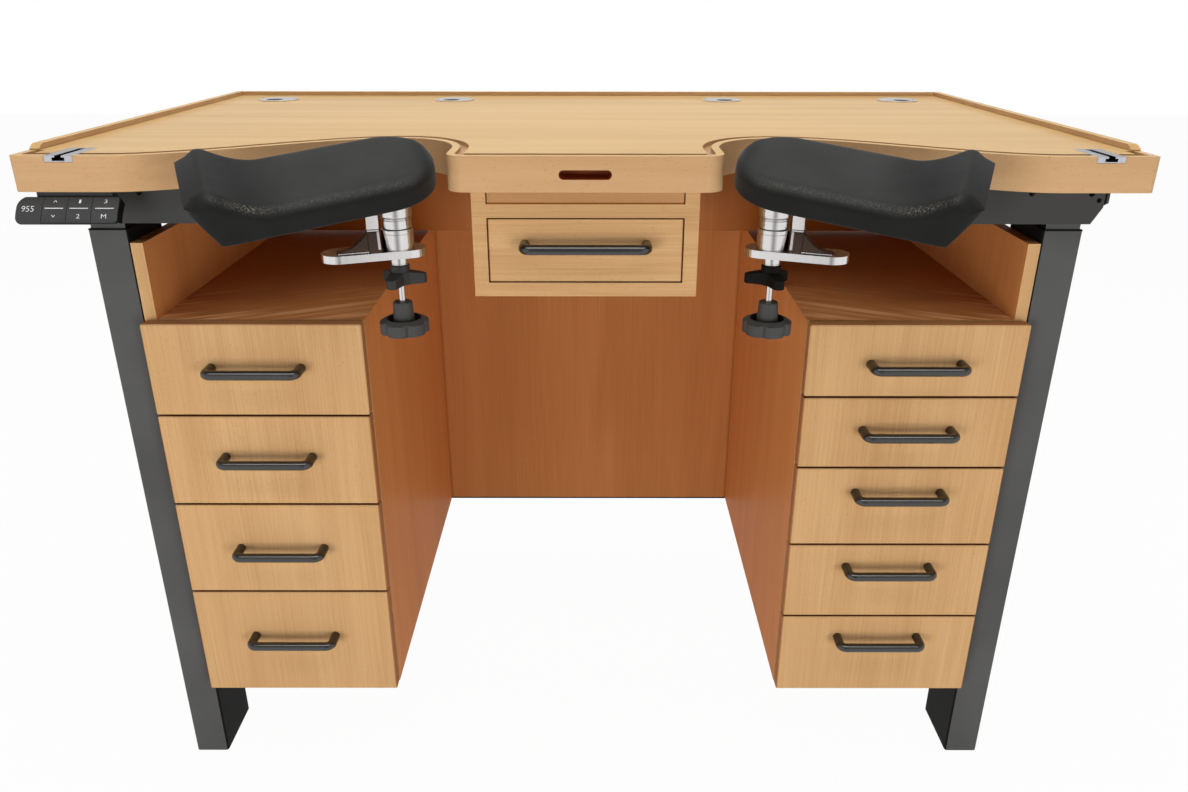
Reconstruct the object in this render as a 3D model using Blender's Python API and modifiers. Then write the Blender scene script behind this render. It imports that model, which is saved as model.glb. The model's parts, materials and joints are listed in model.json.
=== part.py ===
"""Watchmaker's bench: a lifting top on four telescopic legs, two drawer pedestals,
a centre drawer unit, two swivelling armrests and a lift handset.
Metres, +Z up, the user stands at -Y. While it is built, Y = 0 is the front face of the front legs."""
import math

import bmesh
import bpy
from mathutils import Euler, Matrix, Vector

# Clearance between pieces that touch, how far a cutter runs past a face, how far the
# shapes that make one solid run into each other, and the set-back between their faces
GAP = 0.0003
OVER = 0.004
SINK = 0.002
SETBACK = 0.001

# Small broken edges of turned pieces
CHAMFER = 0.0008

# Bench top
TOP_HEIGHT = 0.955
TOP_WIDTH = 1.370
TOP_DEPTH = 0.782
TOP_THICK = 0.043
TOP_ROUND = 0.004
FRONT_OVERHANG = 0.047
CORNER_RADIUS = 0.006

# Arm recesses, the nose between them, the catch groove and the slot for a bench pin
RECESS_FROM_SIDE = 0.110
RECESS_FROM_ARM = 0.012
RECESS_DEPTH = 0.159
RECESS_CURVE = 0.092
NOSE_WIDTH = 0.336
NOSE_RADIUS = 0.024
GROOVE_INSET = 0.0155
GROOVE_WIDTH = 0.011
GROOVE_DEPTH = 0.005
GROOVE_TURN = 0.009
SLOT_WIDTH = 0.064
SLOT_HEIGHT = 0.0115
SLOT_DEPTH = 0.040
SLOT_DROP = 0.0222

# Edge strip round the top
RIM_WIDTH = 0.012
RIM_HEIGHT = 0.007
RIM_START = 0.047
RIM_RAMP = 0.014
RIM_INSET = 0.0005
RIM_ROUND = 0.0022
RIM_TIP = 0.001

# Cable rings and T-slot rails let into the top
RING_RADIUS = 0.036
RING_SLEEVE = 0.030
RING_HOLE = 0.015
RING_HOLE_OUT = 0.004
RING_HOLE_FORWARD = 0.012
RING_FLANGE = 0.0015
RING_DEPTH = 0.020
RING_FROM_BACK = 0.100
RING_FROM_SIDE = 0.111
RING_INNER_X = 0.248
RAIL_FROM_SIDE = 0.0595
RAIL_WIDTH = 0.034
RAIL_HEIGHT = 0.0075
RAIL_LENGTH = 0.064
RAIL_END = 0.004
RAIL_SLOT = 0.008
RAIL_TEE = 0.015
RAIL_LIP = 0.0022
RAIL_FLOOR = 0.0013

# Legs and the steel frame under the top
LEG_FROM_SIDE = 0.051
LEG_WIDTH = 0.0505
LEG_DEPTH = 0.100
LEG_WALL = 0.003
LEG_FOOT = 0.005
LEG_ROUND = 0.004
REAR_LEG_INSET = 0.017
COLUMN_WALL = 0.0025
COLUMN_CAP = 0.006
COLUMN_SHOW = 0.0097
COLUMN_START = 0.055
FRAME_DROP = 0.0473
FRAME_SHEET = 0.003
FRAME_FROM_SIDE = 0.0265
FRAME_INSIDE_LEG = 0.023
FRAME_FROM_BACK = 0.138
BEAM_LENGTH = 0.211
BEAM_INSIDE_FRAME = 0.0075
BEAM_CHAMFER_X = 0.012
BEAM_CHAMFER_Z = 0.0213
BEAM_HOLES = ((0.0926, 0.0085, 0.0038), (0.0172, 0.0091, 0.0038), (0.0067, 0.0172, 0.0031))
FLANGE_DROP = 0.035
FLANGE_CHAMFER_Y = 0.028
FLANGE_CHAMFER_Z = 0.014
CROSS_BEFORE_PANEL = 0.020
CROSS_DEPTH = 0.030
CONTROL_X = 0.290
CONTROL_WIDTH = 0.240
CONTROL_DEPTH = 0.100
CONTROL_HEIGHT = 0.034
CONTROL_BEFORE_CROSS = 0.020
CONTROL_ROUND = 0.004

# Pedestals and their drawers
KNEE_HALF = 0.293
PEDESTAL_DEPTH = 0.599
PANEL = 0.016
SHELF_DROP = 0.176
SHELF_THICK = 0.018
SIDE_RISE = 0.1026
LEFT_FRONTS = (0.130, 0.137, 0.1465, 0.180)
RIGHT_FRONTS = (0.102, 0.1064, 0.1242, 0.1238, 0.1371)
LEFT_HANDLE_DROPS = (0.0602, 0.0615, 0.0709, 0.0776)
RIGHT_HANDLE_DROPS = (0.0539, 0.0483, 0.0383, 0.0361, 0.0365)
FRONT_PROUD = 0.022
FRONT_THICK = 0.019
FRONT_REVEAL = 0.003
FRONT_SIDE_GAP = 0.002
FRONT_ROUND = 0.0015
FRONT_TENON = 0.006
FRONT_LINING = 0.006
RUNNER_RISE = 0.016
RUNNER_THICK = 0.010
RUNNER_WIDTH = 0.012
DRAWER_SIDE_GAP = 0.002
DRAWER_WALL = 0.012
DRAWER_FLOOR = 0.008
DRAWER_CLEAR = 0.020
DRAWER_BACK_GAP = 0.045

# Bow handles
HANDLE_SPAN = 0.1192
CENTRE_HANDLE_SPAN = 0.153
HANDLE_BAR = 0.013
HANDLE_REACH = 0.0275
HANDLE_BEND = 0.0085

# Back panels
KNEE_PANEL_RISE = 0.064
UPPER_PANEL_INSET = 0.099
UPPER_PANEL_GAP = 0.005

# Centre drawer unit under the nose
CENTRE_HALF = 0.1415
CENTRE_DEPTH = 0.380
CENTRE_PANEL = 0.018
CENTRE_BAY = 0.083
CENTRE_RAIL = 0.017
CENTRE_REVEAL = 0.0016
CENTRE_FRONT_ROUND = 0.001
CENTRE_DRAWER_CLEAR = 0.018
CENTRE_BACK_GAP = 0.010
CENTRE_HANDLE_RISE = 0.0494
TRAY_BAY = 0.0187
TRAY_FLOOR = 0.005
TRAY_CLEAR = 0.003

# Handset under the left front corner
HANDSET_FROM_SIDE = 0.063
HANDSET_WIDTH = 0.122
HANDSET_PROUD = 0.019
HANDSET_DROP = 0.0331
HANDSET_THICK = 0.012
HANDSET_LIP = 0.002
FACE_RADIUS = 0.062
FACE_START = 22
FACE_END = 54
END_ROUND_TOP = 0.0105
END_ROUND_LOW = 0.008
KEY_END_ROUND = 0.004
DISPLAY_WIDTH = 0.0306
KEY_PITCH = 0.0297
KEY_SEAM = 0.0006
KEY_DEPTH = 0.006
KEY_SPACE = 0.0015
KEY_END_GAP = 0.0007
RIB_ANGLE = 1.6
TONGUE_WIDTH = 0.0925
TONGUE_SHIFT = 0.0031
TONGUE_SETBACK = 0.0265
TONGUE_THICK = 0.012
TONGUE_DROP = 0.020
TONGUE_PLATE = 0.004
TONGUE_TO_FRAME = 0.002

# Armrests, measured from the swivel axis: s outwards, w towards the back, h up
ARM_INSIDE_KNEE = 0.060
ARM_FROM_FRONT = 0.013
ARM_YAW = 0.3587
PAD_TILT = 0.341
PAD_SLOPE = 0.132
PAD_TURN = 0.0276
PAD_OFFSET = 0.013
PAD_HALF = 0.065
PAD_THICK = 0.0381
PAD_FLAT_END = 0.1942
PAD_TIP = 0.2234
PAD_TIP_HEIGHT = 0.0525
PAD_CREST = 0.1933
PAD_CREST_HEIGHT = 0.0681
PAD_VALLEY = 0.1309
PAD_EDGE = 0.0163
PAD_TAPER = 0.0137
PAD_TAPER_START = 0.1758
PAD_LOW_EDGE = 0.0035
PAD_CROWN = 0.0025
PAD_TUCK = 0.002
PLATE_DROP = 0.0704
PLATE_THICK = 0.0096
PLATE_HALF = 0.022
PLATE_INNER = -0.034
PLATE_OUTER = 0.094
PLATE_ROUND = 0.0015
COLLAR_RADIUS = 0.020
COLLAR_HEIGHT = 0.0224
BUSH_RADIUS = 0.0115
BUSH_HEIGHT = 0.0112
POST_HEIGHT = 0.0768
STEM_RADIUS = 0.010
LOWER_RING_RADIUS = 0.0183
LOWER_RING_HEIGHT = 0.0127
RING_NECK_RADIUS = 0.0168
RING_NECK_HEIGHT = 0.0032
UPPER_RING_RADIUS = 0.0195
GUSSET_INNER = 0.0245
GUSSET_OUTER = 0.075
GUSSET_HEIGHT = 0.024
GUSSET_THICK = 0.006
GUSSET_HOLLOW = 0.005
UPRIGHT_INNER = 0.0225
UPRIGHT_OUTER = 0.0375
UPRIGHT_FRONT = -0.006
UPRIGHT_BACK = 0.010
UPRIGHT_HEIGHT = 0.0194
ARM_BAR_DEPTH = 0.012
ARM_RISER_W = 0.190
ARM_RISER_DEPTH = 0.011
ARM_FLANGE_W = (0.165, 0.245)
ARM_FLANGE_S = (0.005, 0.055)
ARM_FLANGE_THICK = 0.006
STAR_TURN = 16
STAR_REACH = 0.0325
STAR_ARM_HALF = 0.0072
STAR_VALLEY = 0.0128
STAR_HUB = 0.01225
STAR_ARM_TOP = 0.009
STAR_ARM_HEIGHT = 0.0158
STAR_TIP_DROP = 0.0058
STAR_ROUND = 0.002
ROD_RADIUS = 0.0043
ROD_SHOW = 0.0237
ROD_GRIP = 0.015
KNOB_HUB = 0.01225
KNOB_HUB_FLARE = 0.0016
KNOB_LOBES = 6
KNOB_TURN = 17
KNOB_NOTCH = 0.0032
KNOB_RADIUS = 0.031
KNOB_RIM_DROP = 0.0215
KNOB_HEIGHT = 0.040
KNOB_ROUND = 0.003
KNOB_DISH = 0.0225
KNOB_DISH_SLOPE = 0.006
KNOB_DISH_DEPTH = 0.009

# Values that follow from the ones above
TOP_HALF = TOP_WIDTH / 2
TOP_FRONT = -FRONT_OVERHANG
TOP_BACK = TOP_FRONT + TOP_DEPTH
UNDERSIDE = TOP_HEIGHT - TOP_THICK
HANG = UNDERSIDE - GAP
ARM_X = KNEE_HALF - ARM_INSIDE_KNEE
ARM_Y = TOP_FRONT + ARM_FROM_FRONT
RECESS_START = TOP_HALF - RECESS_FROM_SIDE
RECESS_DEEP_X = ARM_X + RECESS_FROM_ARM
NOSE_HALF = NOSE_WIDTH / 2
RING_OUTER_X = TOP_HALF - RING_FROM_SIDE
RAIL_X = TOP_HALF - RAIL_FROM_SIDE
LEG_OUTER_X = TOP_HALF - LEG_FROM_SIDE
LEG_INNER_X = LEG_OUTER_X - LEG_WIDTH
FRAME_OUTER_X = TOP_HALF - FRAME_FROM_SIDE
FRAME_INNER_X = LEG_INNER_X - FRAME_INSIDE_LEG
FRAME_BACK = TOP_BACK - FRAME_FROM_BACK
FRAME_BOTTOM = UNDERSIDE - FRAME_DROP
BEAM_OUTER_X = FRAME_OUTER_X - BEAM_INSIDE_FRAME
BEAM_INNER_X = BEAM_OUTER_X - BEAM_LENGTH
TUBE_TOP = FRAME_BOTTOM - COLUMN_SHOW
UPPER_PANEL_FRONT = PEDESTAL_DEPTH - UPPER_PANEL_INSET
CROSS_FRONT = UPPER_PANEL_FRONT - CROSS_BEFORE_PANEL - CROSS_DEPTH
CONTROL_FRONT = CROSS_FRONT - CONTROL_BEFORE_CROSS - CONTROL_DEPTH
CASE_OUT = LEG_INNER_X - GAP
SHELF_TOP = UNDERSIDE - SHELF_DROP
SIDE_TOP = SHELF_TOP + SIDE_RISE
CASE_BOTTOM = SHELF_TOP - sum(LEFT_FRONTS)
FRONT_FACE = -FRONT_PROUD
CENTRE_FRONT = FRONT_FACE
CENTRE_BOTTOM = HANG - TRAY_BAY - CENTRE_RAIL - CENTRE_BAY - CENTRE_PANEL
HANDSET_X = HANDSET_FROM_SIDE - TOP_HALF
HANDSET_FRONT = TOP_FRONT - HANDSET_PROUD
FACE_BOTTOM = UNDERSIDE - HANDSET_DROP
PLATE_TOP = UNDERSIDE - PLATE_DROP
PAD_BASE_Z = PLATE_TOP + POST_HEIGHT
POST_SEAT = PLATE_TOP + COLLAR_HEIGHT + GAP
LOWER_RING_TOP = POST_SEAT + LOWER_RING_HEIGHT
RING_NECK_TOP = LOWER_RING_TOP + RING_NECK_HEIGHT
UPRIGHT_TOP = PLATE_TOP + GUSSET_HEIGHT + UPRIGHT_HEIGHT
STAR_TOP = PLATE_TOP - PLATE_THICK - BUSH_HEIGHT - GAP
STAR_BOTTOM = STAR_TOP - STAR_ARM_TOP - STAR_ARM_HEIGHT
KNOB_TOP = STAR_BOTTOM - ROD_SHOW


def clear_scene():
    for obj in list(bpy.data.objects):
        bpy.data.objects.remove(obj)


def make_material(name, color, metallic, roughness):
    material = bpy.data.materials.new(name)
    material.use_nodes = True
    shader = material.node_tree.nodes["Principled BSDF"]
    shader.inputs["Base Color"].default_value = (*color, 1.0)
    shader.inputs["Metallic"].default_value = metallic
    shader.inputs["Roughness"].default_value = roughness
    material.diffuse_color = (*color, 1.0)
    return material


clear_scene()
PARTS = bpy.data.collections.new("watchmakers_bench")
bpy.context.scene.collection.children.link(PARTS)

WOOD = make_material("beech", (0.72, 0.50, 0.28), 0.0, 0.45)
STEEL = make_material("coated_steel", (0.10, 0.09, 0.085), 0.0, 0.5)
GRAPHITE = make_material("graphite_handle", (0.13, 0.13, 0.14), 0.8, 0.35)
POLISHED = make_material("polished_steel", (0.75, 0.75, 0.76), 1.0, 0.12)
LEATHER = make_material("black_pad", (0.03, 0.03, 0.032), 0.0, 0.5)
BLACK = make_material("black_plastic", (0.025, 0.025, 0.027), 0.0, 0.45)
GREY = make_material("handset_plastic", (0.06, 0.06, 0.065), 0.0, 0.5)
SILVER = make_material("silver_ring", (0.78, 0.76, 0.74), 0.6, 0.35)
ALUMINIUM = make_material("aluminium_rail", (0.45, 0.46, 0.48), 1.0, 0.4)


# Tools for shaping

def add_object(name, data):
    obj = bpy.data.objects.new(name, data)
    PARTS.objects.link(obj)
    return obj


def mesh_from(name, bm):
    mesh = bpy.data.meshes.new(name)
    bmesh.ops.recalc_face_normals(bm, faces=bm.faces)
    bm.to_mesh(mesh)
    bm.free()
    return add_object(name, mesh)


def bake(obj):
    """Replace an object's curve or modifiers by the mesh they make."""
    bpy.context.view_layer.update()
    depsgraph = bpy.context.evaluated_depsgraph_get()
    mesh = bpy.data.meshes.new_from_object(obj.evaluated_get(depsgraph))
    bm = bmesh.new()
    bm.from_mesh(mesh)
    bmesh.ops.remove_doubles(bm, verts=bm.verts, dist=0.00001)
    bmesh.ops.recalc_face_normals(bm, faces=bm.faces)
    bm.to_mesh(mesh)
    bm.free()
    solid = add_object(obj.name + "_solid", mesh)
    solid.matrix_world = obj.matrix_world.copy()
    name = obj.name
    bpy.data.objects.remove(obj)
    solid.name = name
    return solid


def box(name, low, high):
    bm = bmesh.new()
    bmesh.ops.create_cube(bm, size=1.0)
    size = Vector(high) - Vector(low)
    middle = (Vector(high) + Vector(low)) / 2
    bmesh.ops.scale(bm, vec=size, verts=bm.verts)
    bmesh.ops.translate(bm, vec=middle, verts=bm.verts)
    return mesh_from(name, bm)


def mirrored_box(name, side, low, high):
    """A box given for the right-hand side and placed on either side."""
    x_values = sorted((side * low[0], side * high[0]))
    return box(name, (x_values[0], low[1], low[2]), (x_values[1], high[1], high[2]))


def cylinder(name, radius, bottom, top, centre=(0.0, 0.0), segments=32):
    bm = bmesh.new()
    bmesh.ops.create_cone(bm, cap_ends=True, segments=segments, radius1=radius, radius2=radius,
                          depth=top - bottom)
    bmesh.ops.translate(bm, vec=(centre[0], centre[1], (top + bottom) / 2), verts=bm.verts)
    return mesh_from(name, bm)


def slab(name, outline, bottom, top):
    """A flat outline in X and Y given a thickness in Z."""
    curve = bpy.data.curves.new(name, "CURVE")
    curve.dimensions = "2D"
    curve.fill_mode = "BOTH"
    curve.extrude = (top - bottom) / 2
    spline = curve.splines.new("POLY")
    spline.points.add(len(outline) - 1)
    for point, (x, y) in zip(spline.points, outline):
        point.co = (x, y, 0.0, 1.0)
    spline.use_cyclic_u = True
    obj = bake(add_object(name, curve))
    for vertex in obj.data.vertices:
        vertex.co.z += (top + bottom) / 2
    return obj


def transform_mesh(obj, matrix):
    obj.data.transform(matrix)
    if matrix.determinant() < 0:
        obj.data.flip_normals()
    obj.data.update()
    return obj


def standing_slab(name, outline, low, high, side):
    """An outline in s and h with its thickness along w, for a plate that stands upright."""
    obj = slab(name, outline, low, high)
    upright = Matrix(((side, 0, 0, 0), (0, 0, 1, 0), (0, 1, 0, 0), (0, 0, 0, 1)))
    return transform_mesh(obj, upright)


def turned(name, profile, segments=32):
    """A profile of (radius, height) points from top to bottom, turned about Z."""
    mesh = bpy.data.meshes.new(name)
    points = [(radius, 0.0, height) for radius, height in profile]
    mesh.from_pydata(points, [(i, i + 1) for i in range(len(points) - 1)], [])
    obj = add_object(name, mesh)
    screw = obj.modifiers.new("turn", "SCREW")
    screw.steps = segments
    screw.render_steps = segments
    screw.use_merge_vertices = True
    screw.merge_threshold = 0.00001
    return bake(obj)


def boolean(obj, operation, tools):
    for tool in tools:
        modifier = obj.modifiers.new(operation.lower(), "BOOLEAN")
        modifier.operation = operation
        modifier.solver = "EXACT"
        modifier.object = tool
    obj = bake(obj)
    for tool in tools:
        bpy.data.objects.remove(tool)
    return obj


def cut(obj, *tools):
    return boolean(obj, "DIFFERENCE", tools)


def join(obj, *tools):
    return boolean(obj, "UNION", tools)


def soften(obj, width, segments=2, angle=40):
    modifier = obj.modifiers.new("soften", "BEVEL")
    modifier.width = width
    modifier.segments = segments
    modifier.limit_method = "ANGLE"
    modifier.angle_limit = math.radians(angle)
    return bake(obj)


def arc(centre, radius, start, end, steps):
    points = []
    for i in range(steps + 1):
        angle = math.radians(start + (end - start) * i / steps)
        points.append((centre[0] + radius * math.cos(angle), centre[1] + radius * math.sin(angle)))
    return points


def empty(name, parent=None, location=(0.0, 0.0, 0.0), rotation=(0.0, 0.0, 0.0)):
    obj = add_object(name, None)
    obj.empty_display_size = 0.05
    obj.parent = parent
    obj.location = location
    obj.rotation_euler = rotation
    return obj


def finish(obj, material, body, origin=None):
    """Give a piece its material, its origin and the body it belongs to.
    The mesh is in the body's own coordinates, and the origin is a point in them."""
    if origin is not None:
        obj.data.transform(Matrix.Translation(-Vector(origin)))
        obj.location = origin
    obj.data.materials.clear()
    obj.data.materials.append(material)
    obj.parent = body
    return obj


# Front edge of the top

def front_half_edge():
    """Front edge of the right half, from the start of the recess to the middle of the nose."""
    points = []
    deep_y = TOP_FRONT + RECESS_DEPTH
    steps = 16
    for i in range(steps + 1):
        t = i / steps
        x = RECESS_START + (RECESS_DEEP_X - RECESS_START) * t
        points.append((x, TOP_FRONT + RECESS_DEPTH * (3 * t * t - 2 * t * t * t)))
    steps = 9
    for i in range(1, steps + 1):
        angle = math.pi / 2 * i / steps
        x = RECESS_DEEP_X - (RECESS_DEEP_X - NOSE_HALF) * math.sin(angle)
        points.append((x, deep_y - RECESS_CURVE * (1 - math.cos(angle))))
    centre = (NOSE_HALF - NOSE_RADIUS, TOP_FRONT + NOSE_RADIUS)
    points += arc(centre, NOSE_RADIUS, 0, -90, 6)
    return points


def mirror(points):
    return [(-x, y) for x, y in reversed(points)]


def shifted(points, distance):
    """A line moved sideways into the top, away from the front edge."""
    moved = []
    for i, (x, y) in enumerate(points):
        before = points[max(i - 1, 0)]
        after = points[min(i + 1, len(points) - 1)]
        along = Vector((after[0] - before[0], after[1] - before[1])).normalized()
        if i == 0 or i == len(points) - 1:
            along = Vector((-1.0, 0.0))
        moved.append((x + along.y * distance, y - along.x * distance))
    return moved


def top_outline():
    r = CORNER_RADIUS
    half = arc((TOP_HALF - r, TOP_BACK - r), r, 90, 0, 3)
    half += arc((TOP_HALF - r, TOP_FRONT + r), r, 0, -90, 3)
    half += front_half_edge()
    return half + mirror(half)


def groove_outline():
    """The catch groove: it follows the front edge and turns back along both sides."""
    edge = front_half_edge()
    sides = []
    for offset in (-GROOVE_WIDTH / 2, GROOVE_WIDTH / 2):
        inset = GROOVE_INSET + offset
        turn = GROOVE_TURN - offset
        corner = (TOP_HALF - GROOVE_INSET - GROOVE_TURN, TOP_FRONT + GROOVE_INSET + GROOVE_TURN)
        half = [(TOP_HALF - inset, TOP_FRONT + RIM_START - OVER / 4)]
        half += arc(corner, turn, 0, -90, 4)
        half += shifted(edge, inset)
        sides.append(half + mirror(half))
    return sides[0] + list(reversed(sides[1]))


def make_bench_top(body):
    top = slab("bench_top", top_outline(), UNDERSIDE, TOP_HEIGHT)
    top = soften(top, TOP_ROUND, 2, 60)
    tools = [slab("groove_tool", groove_outline(), TOP_HEIGHT - GROOVE_DEPTH, TOP_HEIGHT + OVER)]
    slot_z = TOP_HEIGHT - SLOT_DROP
    half_height = SLOT_HEIGHT / 2
    reach = SLOT_WIDTH / 2 - half_height
    stadium = arc((reach, 0.0), half_height, -90, 90, 6) + arc((-reach, 0.0), half_height, 90, 270, 6)
    slot = standing_slab("slot_tool", stadium, TOP_FRONT - OVER, TOP_FRONT + SLOT_DEPTH, 1)
    transform_mesh(slot, Matrix.Translation((0.0, 0.0, slot_z)))
    tools.append(slot)
    for side in (-1, 1):
        half = RAIL_WIDTH / 2 + GAP
        low = (RAIL_X - half, TOP_FRONT - OVER, TOP_HEIGHT - RAIL_HEIGHT - GAP)
        high = (RAIL_X + half, TOP_FRONT + RAIL_LENGTH + GAP, TOP_HEIGHT + OVER)
        tools.append(mirrored_box("rail_tool", side, low, high))
        for x in (RING_OUTER_X, RING_INNER_X):
            centre = (side * x, TOP_BACK - RING_FROM_BACK)
            hole = cylinder("ring_tool", RING_SLEEVE + GAP, UNDERSIDE - OVER, TOP_HEIGHT + OVER, centre)
            tools.append(hole)
    finish(cut(top, *tools), WOOD, body)


def make_top_rim(body):
    outer = TOP_HALF - RIM_INSET
    inner = outer - RIM_WIDTH
    back = TOP_BACK - RIM_INSET
    front = TOP_FRONT + RIM_START
    r = CORNER_RADIUS
    outside = [(outer, front)] + arc((outer - r, back - r), r, 0, 90, 3)
    inside = [(-inner, front), (-inner, back - RIM_WIDTH), (inner, back - RIM_WIDTH), (inner, front)]
    low = TOP_HEIGHT + GAP
    high = TOP_HEIGHT + RIM_HEIGHT
    rim = slab("top_rim", outside + mirror(outside) + inside, low, high)
    rim = soften(rim, RIM_ROUND, 2, 60)
    tip = low + RIM_TIP
    ramp = [(front - OVER, tip), (front, tip), (front + RIM_RAMP, high + OVER / 8),
            (front + RIM_RAMP, high + OVER), (front - OVER, high + OVER)]
    tool = standing_slab("ramp_tool", ramp, -TOP_HALF - OVER, TOP_HALF + OVER, 1)
    transform_mesh(tool, Matrix.Rotation(math.pi / 2, 4, "Z"))
    finish(cut(rim, tool), WOOD, body)


def make_rings(body):
    for side, word in ((-1, "left"), (1, "right")):
        for x, place in ((RING_OUTER_X, "outer"), (RING_INNER_X, "inner")):
            centre = (side * x, TOP_BACK - RING_FROM_BACK)
            name = f"cable_ring_{word}_{place}"
            low = TOP_HEIGHT - RING_DEPTH
            flange = TOP_HEIGHT + GAP
            top = flange + RING_FLANGE
            profile = [(0.0, top), (RING_RADIUS - CHAMFER, top), (RING_RADIUS, top - CHAMFER),
                       (RING_RADIUS, flange), (RING_SLEEVE, flange), (RING_SLEEVE, low), (0.0, low)]
            ring = turned(name, profile)
            middle = (side * RING_HOLE_OUT, -RING_HOLE_FORWARD)
            hole = cylinder("hole_tool", RING_HOLE, low - OVER, top + OVER, middle, 24)
            ring = transform_mesh(cut(ring, hole), Matrix.Translation((*centre, 0.0)))
            finish(ring, SILVER, body, (*centre, TOP_HEIGHT))


def make_t_rails(body):
    for side, word in ((-1, "left"), (1, "right")):
        low = TOP_HEIGHT - RAIL_HEIGHT
        floor = low + RAIL_FLOOR
        back = TOP_FRONT + RAIL_LENGTH
        end = back - RAIL_END
        start = (RAIL_X - RAIL_WIDTH / 2, TOP_FRONT, low)
        rail = mirrored_box(f"t_rail_{word}", side, start, (RAIL_X + RAIL_WIDTH / 2, back, TOP_HEIGHT))
        slot = mirrored_box("slot_tool", side, (RAIL_X - RAIL_SLOT / 2, TOP_FRONT - OVER, floor + OVER / 4),
                            (RAIL_X + RAIL_SLOT / 2, end, TOP_HEIGHT + OVER))
        tee = mirrored_box("tee_tool", side, (RAIL_X - RAIL_TEE / 2, TOP_FRONT - OVER, floor),
                           (RAIL_X + RAIL_TEE / 2, end, TOP_HEIGHT - RAIL_LIP))
        finish(cut(rail, slot, tee), ALUMINIUM, body)


# Legs and frame

def leg_starts():
    """Front face of the front and rear legs."""
    return (("front", 0.0), ("rear", FRAME_BACK - REAR_LEG_INSET - LEG_DEPTH))


def make_legs(base, lift):
    for side, word in ((-1, "left"), (1, "right")):
        for place, y in leg_starts():
            low = (LEG_INNER_X, y, 0.0)
            high = (LEG_OUTER_X, y + LEG_DEPTH, TUBE_TOP)
            tube = mirrored_box(f"leg_tube_{word}_{place}", side, low, high)
            tube = soften_upright(tube, LEG_ROUND)
            bore = mirrored_box("bore_tool", side, (low[0] + LEG_WALL, y + LEG_WALL, LEG_FOOT),
                                (high[0] - LEG_WALL, y + LEG_DEPTH - LEG_WALL, TUBE_TOP + OVER))
            finish(cut(tube, bore), STEEL, base)
            inset = LEG_WALL + GAP
            low = (LEG_INNER_X + inset, y + inset, COLUMN_START)
            high = (LEG_OUTER_X - inset, y + LEG_DEPTH - inset, HANG - FRAME_SHEET - GAP)
            column = mirrored_box(f"leg_column_{word}_{place}", side, low, high)
            wall = COLUMN_WALL
            bore = mirrored_box("bore_tool", side, (low[0] + wall, low[1] + wall, COLUMN_START - OVER),
                                (high[0] - wall, high[1] - wall, high[2] - COLUMN_CAP))
            finish(cut(column, bore), STEEL, lift)


def soften_upright(obj, width):
    """Round only the four upright edges of a box."""
    bm = bmesh.new()
    bm.from_mesh(obj.data)
    edges = [edge for edge in bm.edges if abs((edge.verts[0].co - edge.verts[1].co).z) > 0.01]
    bmesh.ops.bevel(bm, geom=edges, offset=width, segments=3, profile=0.5, affect="EDGES")
    bmesh.ops.recalc_face_normals(bm, faces=bm.faces)
    bm.to_mesh(obj.data)
    bm.free()
    return obj


def make_side_frames(lift):
    """One welded sheet-steel frame per side: top plate, two flanges, front beam and rear plate."""
    for side, word in ((-1, "left"), (1, "right")):
        sheet = FRAME_SHEET
        front = -GAP
        plate = mirrored_box(f"side_frame_{word}", side, (FRAME_INNER_X, front - sheet, HANG - sheet),
                             (FRAME_OUTER_X, FRAME_BACK, HANG))
        profile = [(0.0, HANG), (FRAME_BACK, HANG), (FRAME_BACK, HANG - FLANGE_DROP),
                   (FLANGE_CHAMFER_Y, HANG - FLANGE_DROP), (0.0, HANG - FLANGE_DROP + FLANGE_CHAMFER_Z)]
        outer = slab("outer_tool", [(z, -y) for y, z in profile], FRAME_OUTER_X - sheet, FRAME_OUTER_X)
        to_side = Matrix(((0, 0, side, 0), (0, -1, 0, 0), (1, 0, 0, 0), (0, 0, 0, 1)))
        transform_mesh(outer, to_side)
        inner = mirrored_box("inner_tool", side, (FRAME_INNER_X, front - sheet / 2, HANG - FLANGE_DROP),
                             (FRAME_INNER_X + sheet, FRAME_BACK, HANG - sheet / 2))
        beam_outline = [(BEAM_INNER_X, HANG), (BEAM_OUTER_X, HANG),
                        (BEAM_OUTER_X, FRAME_BOTTOM + BEAM_CHAMFER_Z),
                        (BEAM_OUTER_X - BEAM_CHAMFER_X, FRAME_BOTTOM), (BEAM_INNER_X, FRAME_BOTTOM)]
        beam = standing_slab("beam_tool", beam_outline, front - sheet, front, side)
        rear_low = (FRAME_INNER_X + sheet / 2, FRAME_BACK - sheet, HANG - FLANGE_DROP)
        rear_high = (FRAME_OUTER_X - sheet / 2, FRAME_BACK - sheet / 4, HANG - sheet / 2)
        rear = mirrored_box("rear_tool", side, rear_low, rear_high)
        frame = join(plate, outer, inner, beam, rear)
        holes = []
        for inset, drop, radius in BEAM_HOLES:
            hole = cylinder("hole_tool", radius, -sheet, sheet, segments=12)
            turn = Matrix.Translation((side * (BEAM_OUTER_X - inset), front - sheet / 2, UNDERSIDE - drop))
            holes.append(transform_mesh(hole, turn @ Matrix.Rotation(math.pi / 2, 4, "X")))
        finish(cut(frame, *holes), STEEL, lift)


def make_cross_rail(lift):
    half = FRAME_INNER_X - GAP
    rail = box("cross_rail", (-half, CROSS_FRONT, HANG - FLANGE_DROP),
               (half, CROSS_FRONT + CROSS_DEPTH, HANG))
    wall = COLUMN_WALL
    bore = box("bore_tool", (-half - OVER, CROSS_FRONT + wall, HANG - FLANGE_DROP + wall),
               (half + OVER, CROSS_FRONT + CROSS_DEPTH - wall, HANG - wall))
    finish(cut(rail, bore), STEEL, lift)


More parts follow.
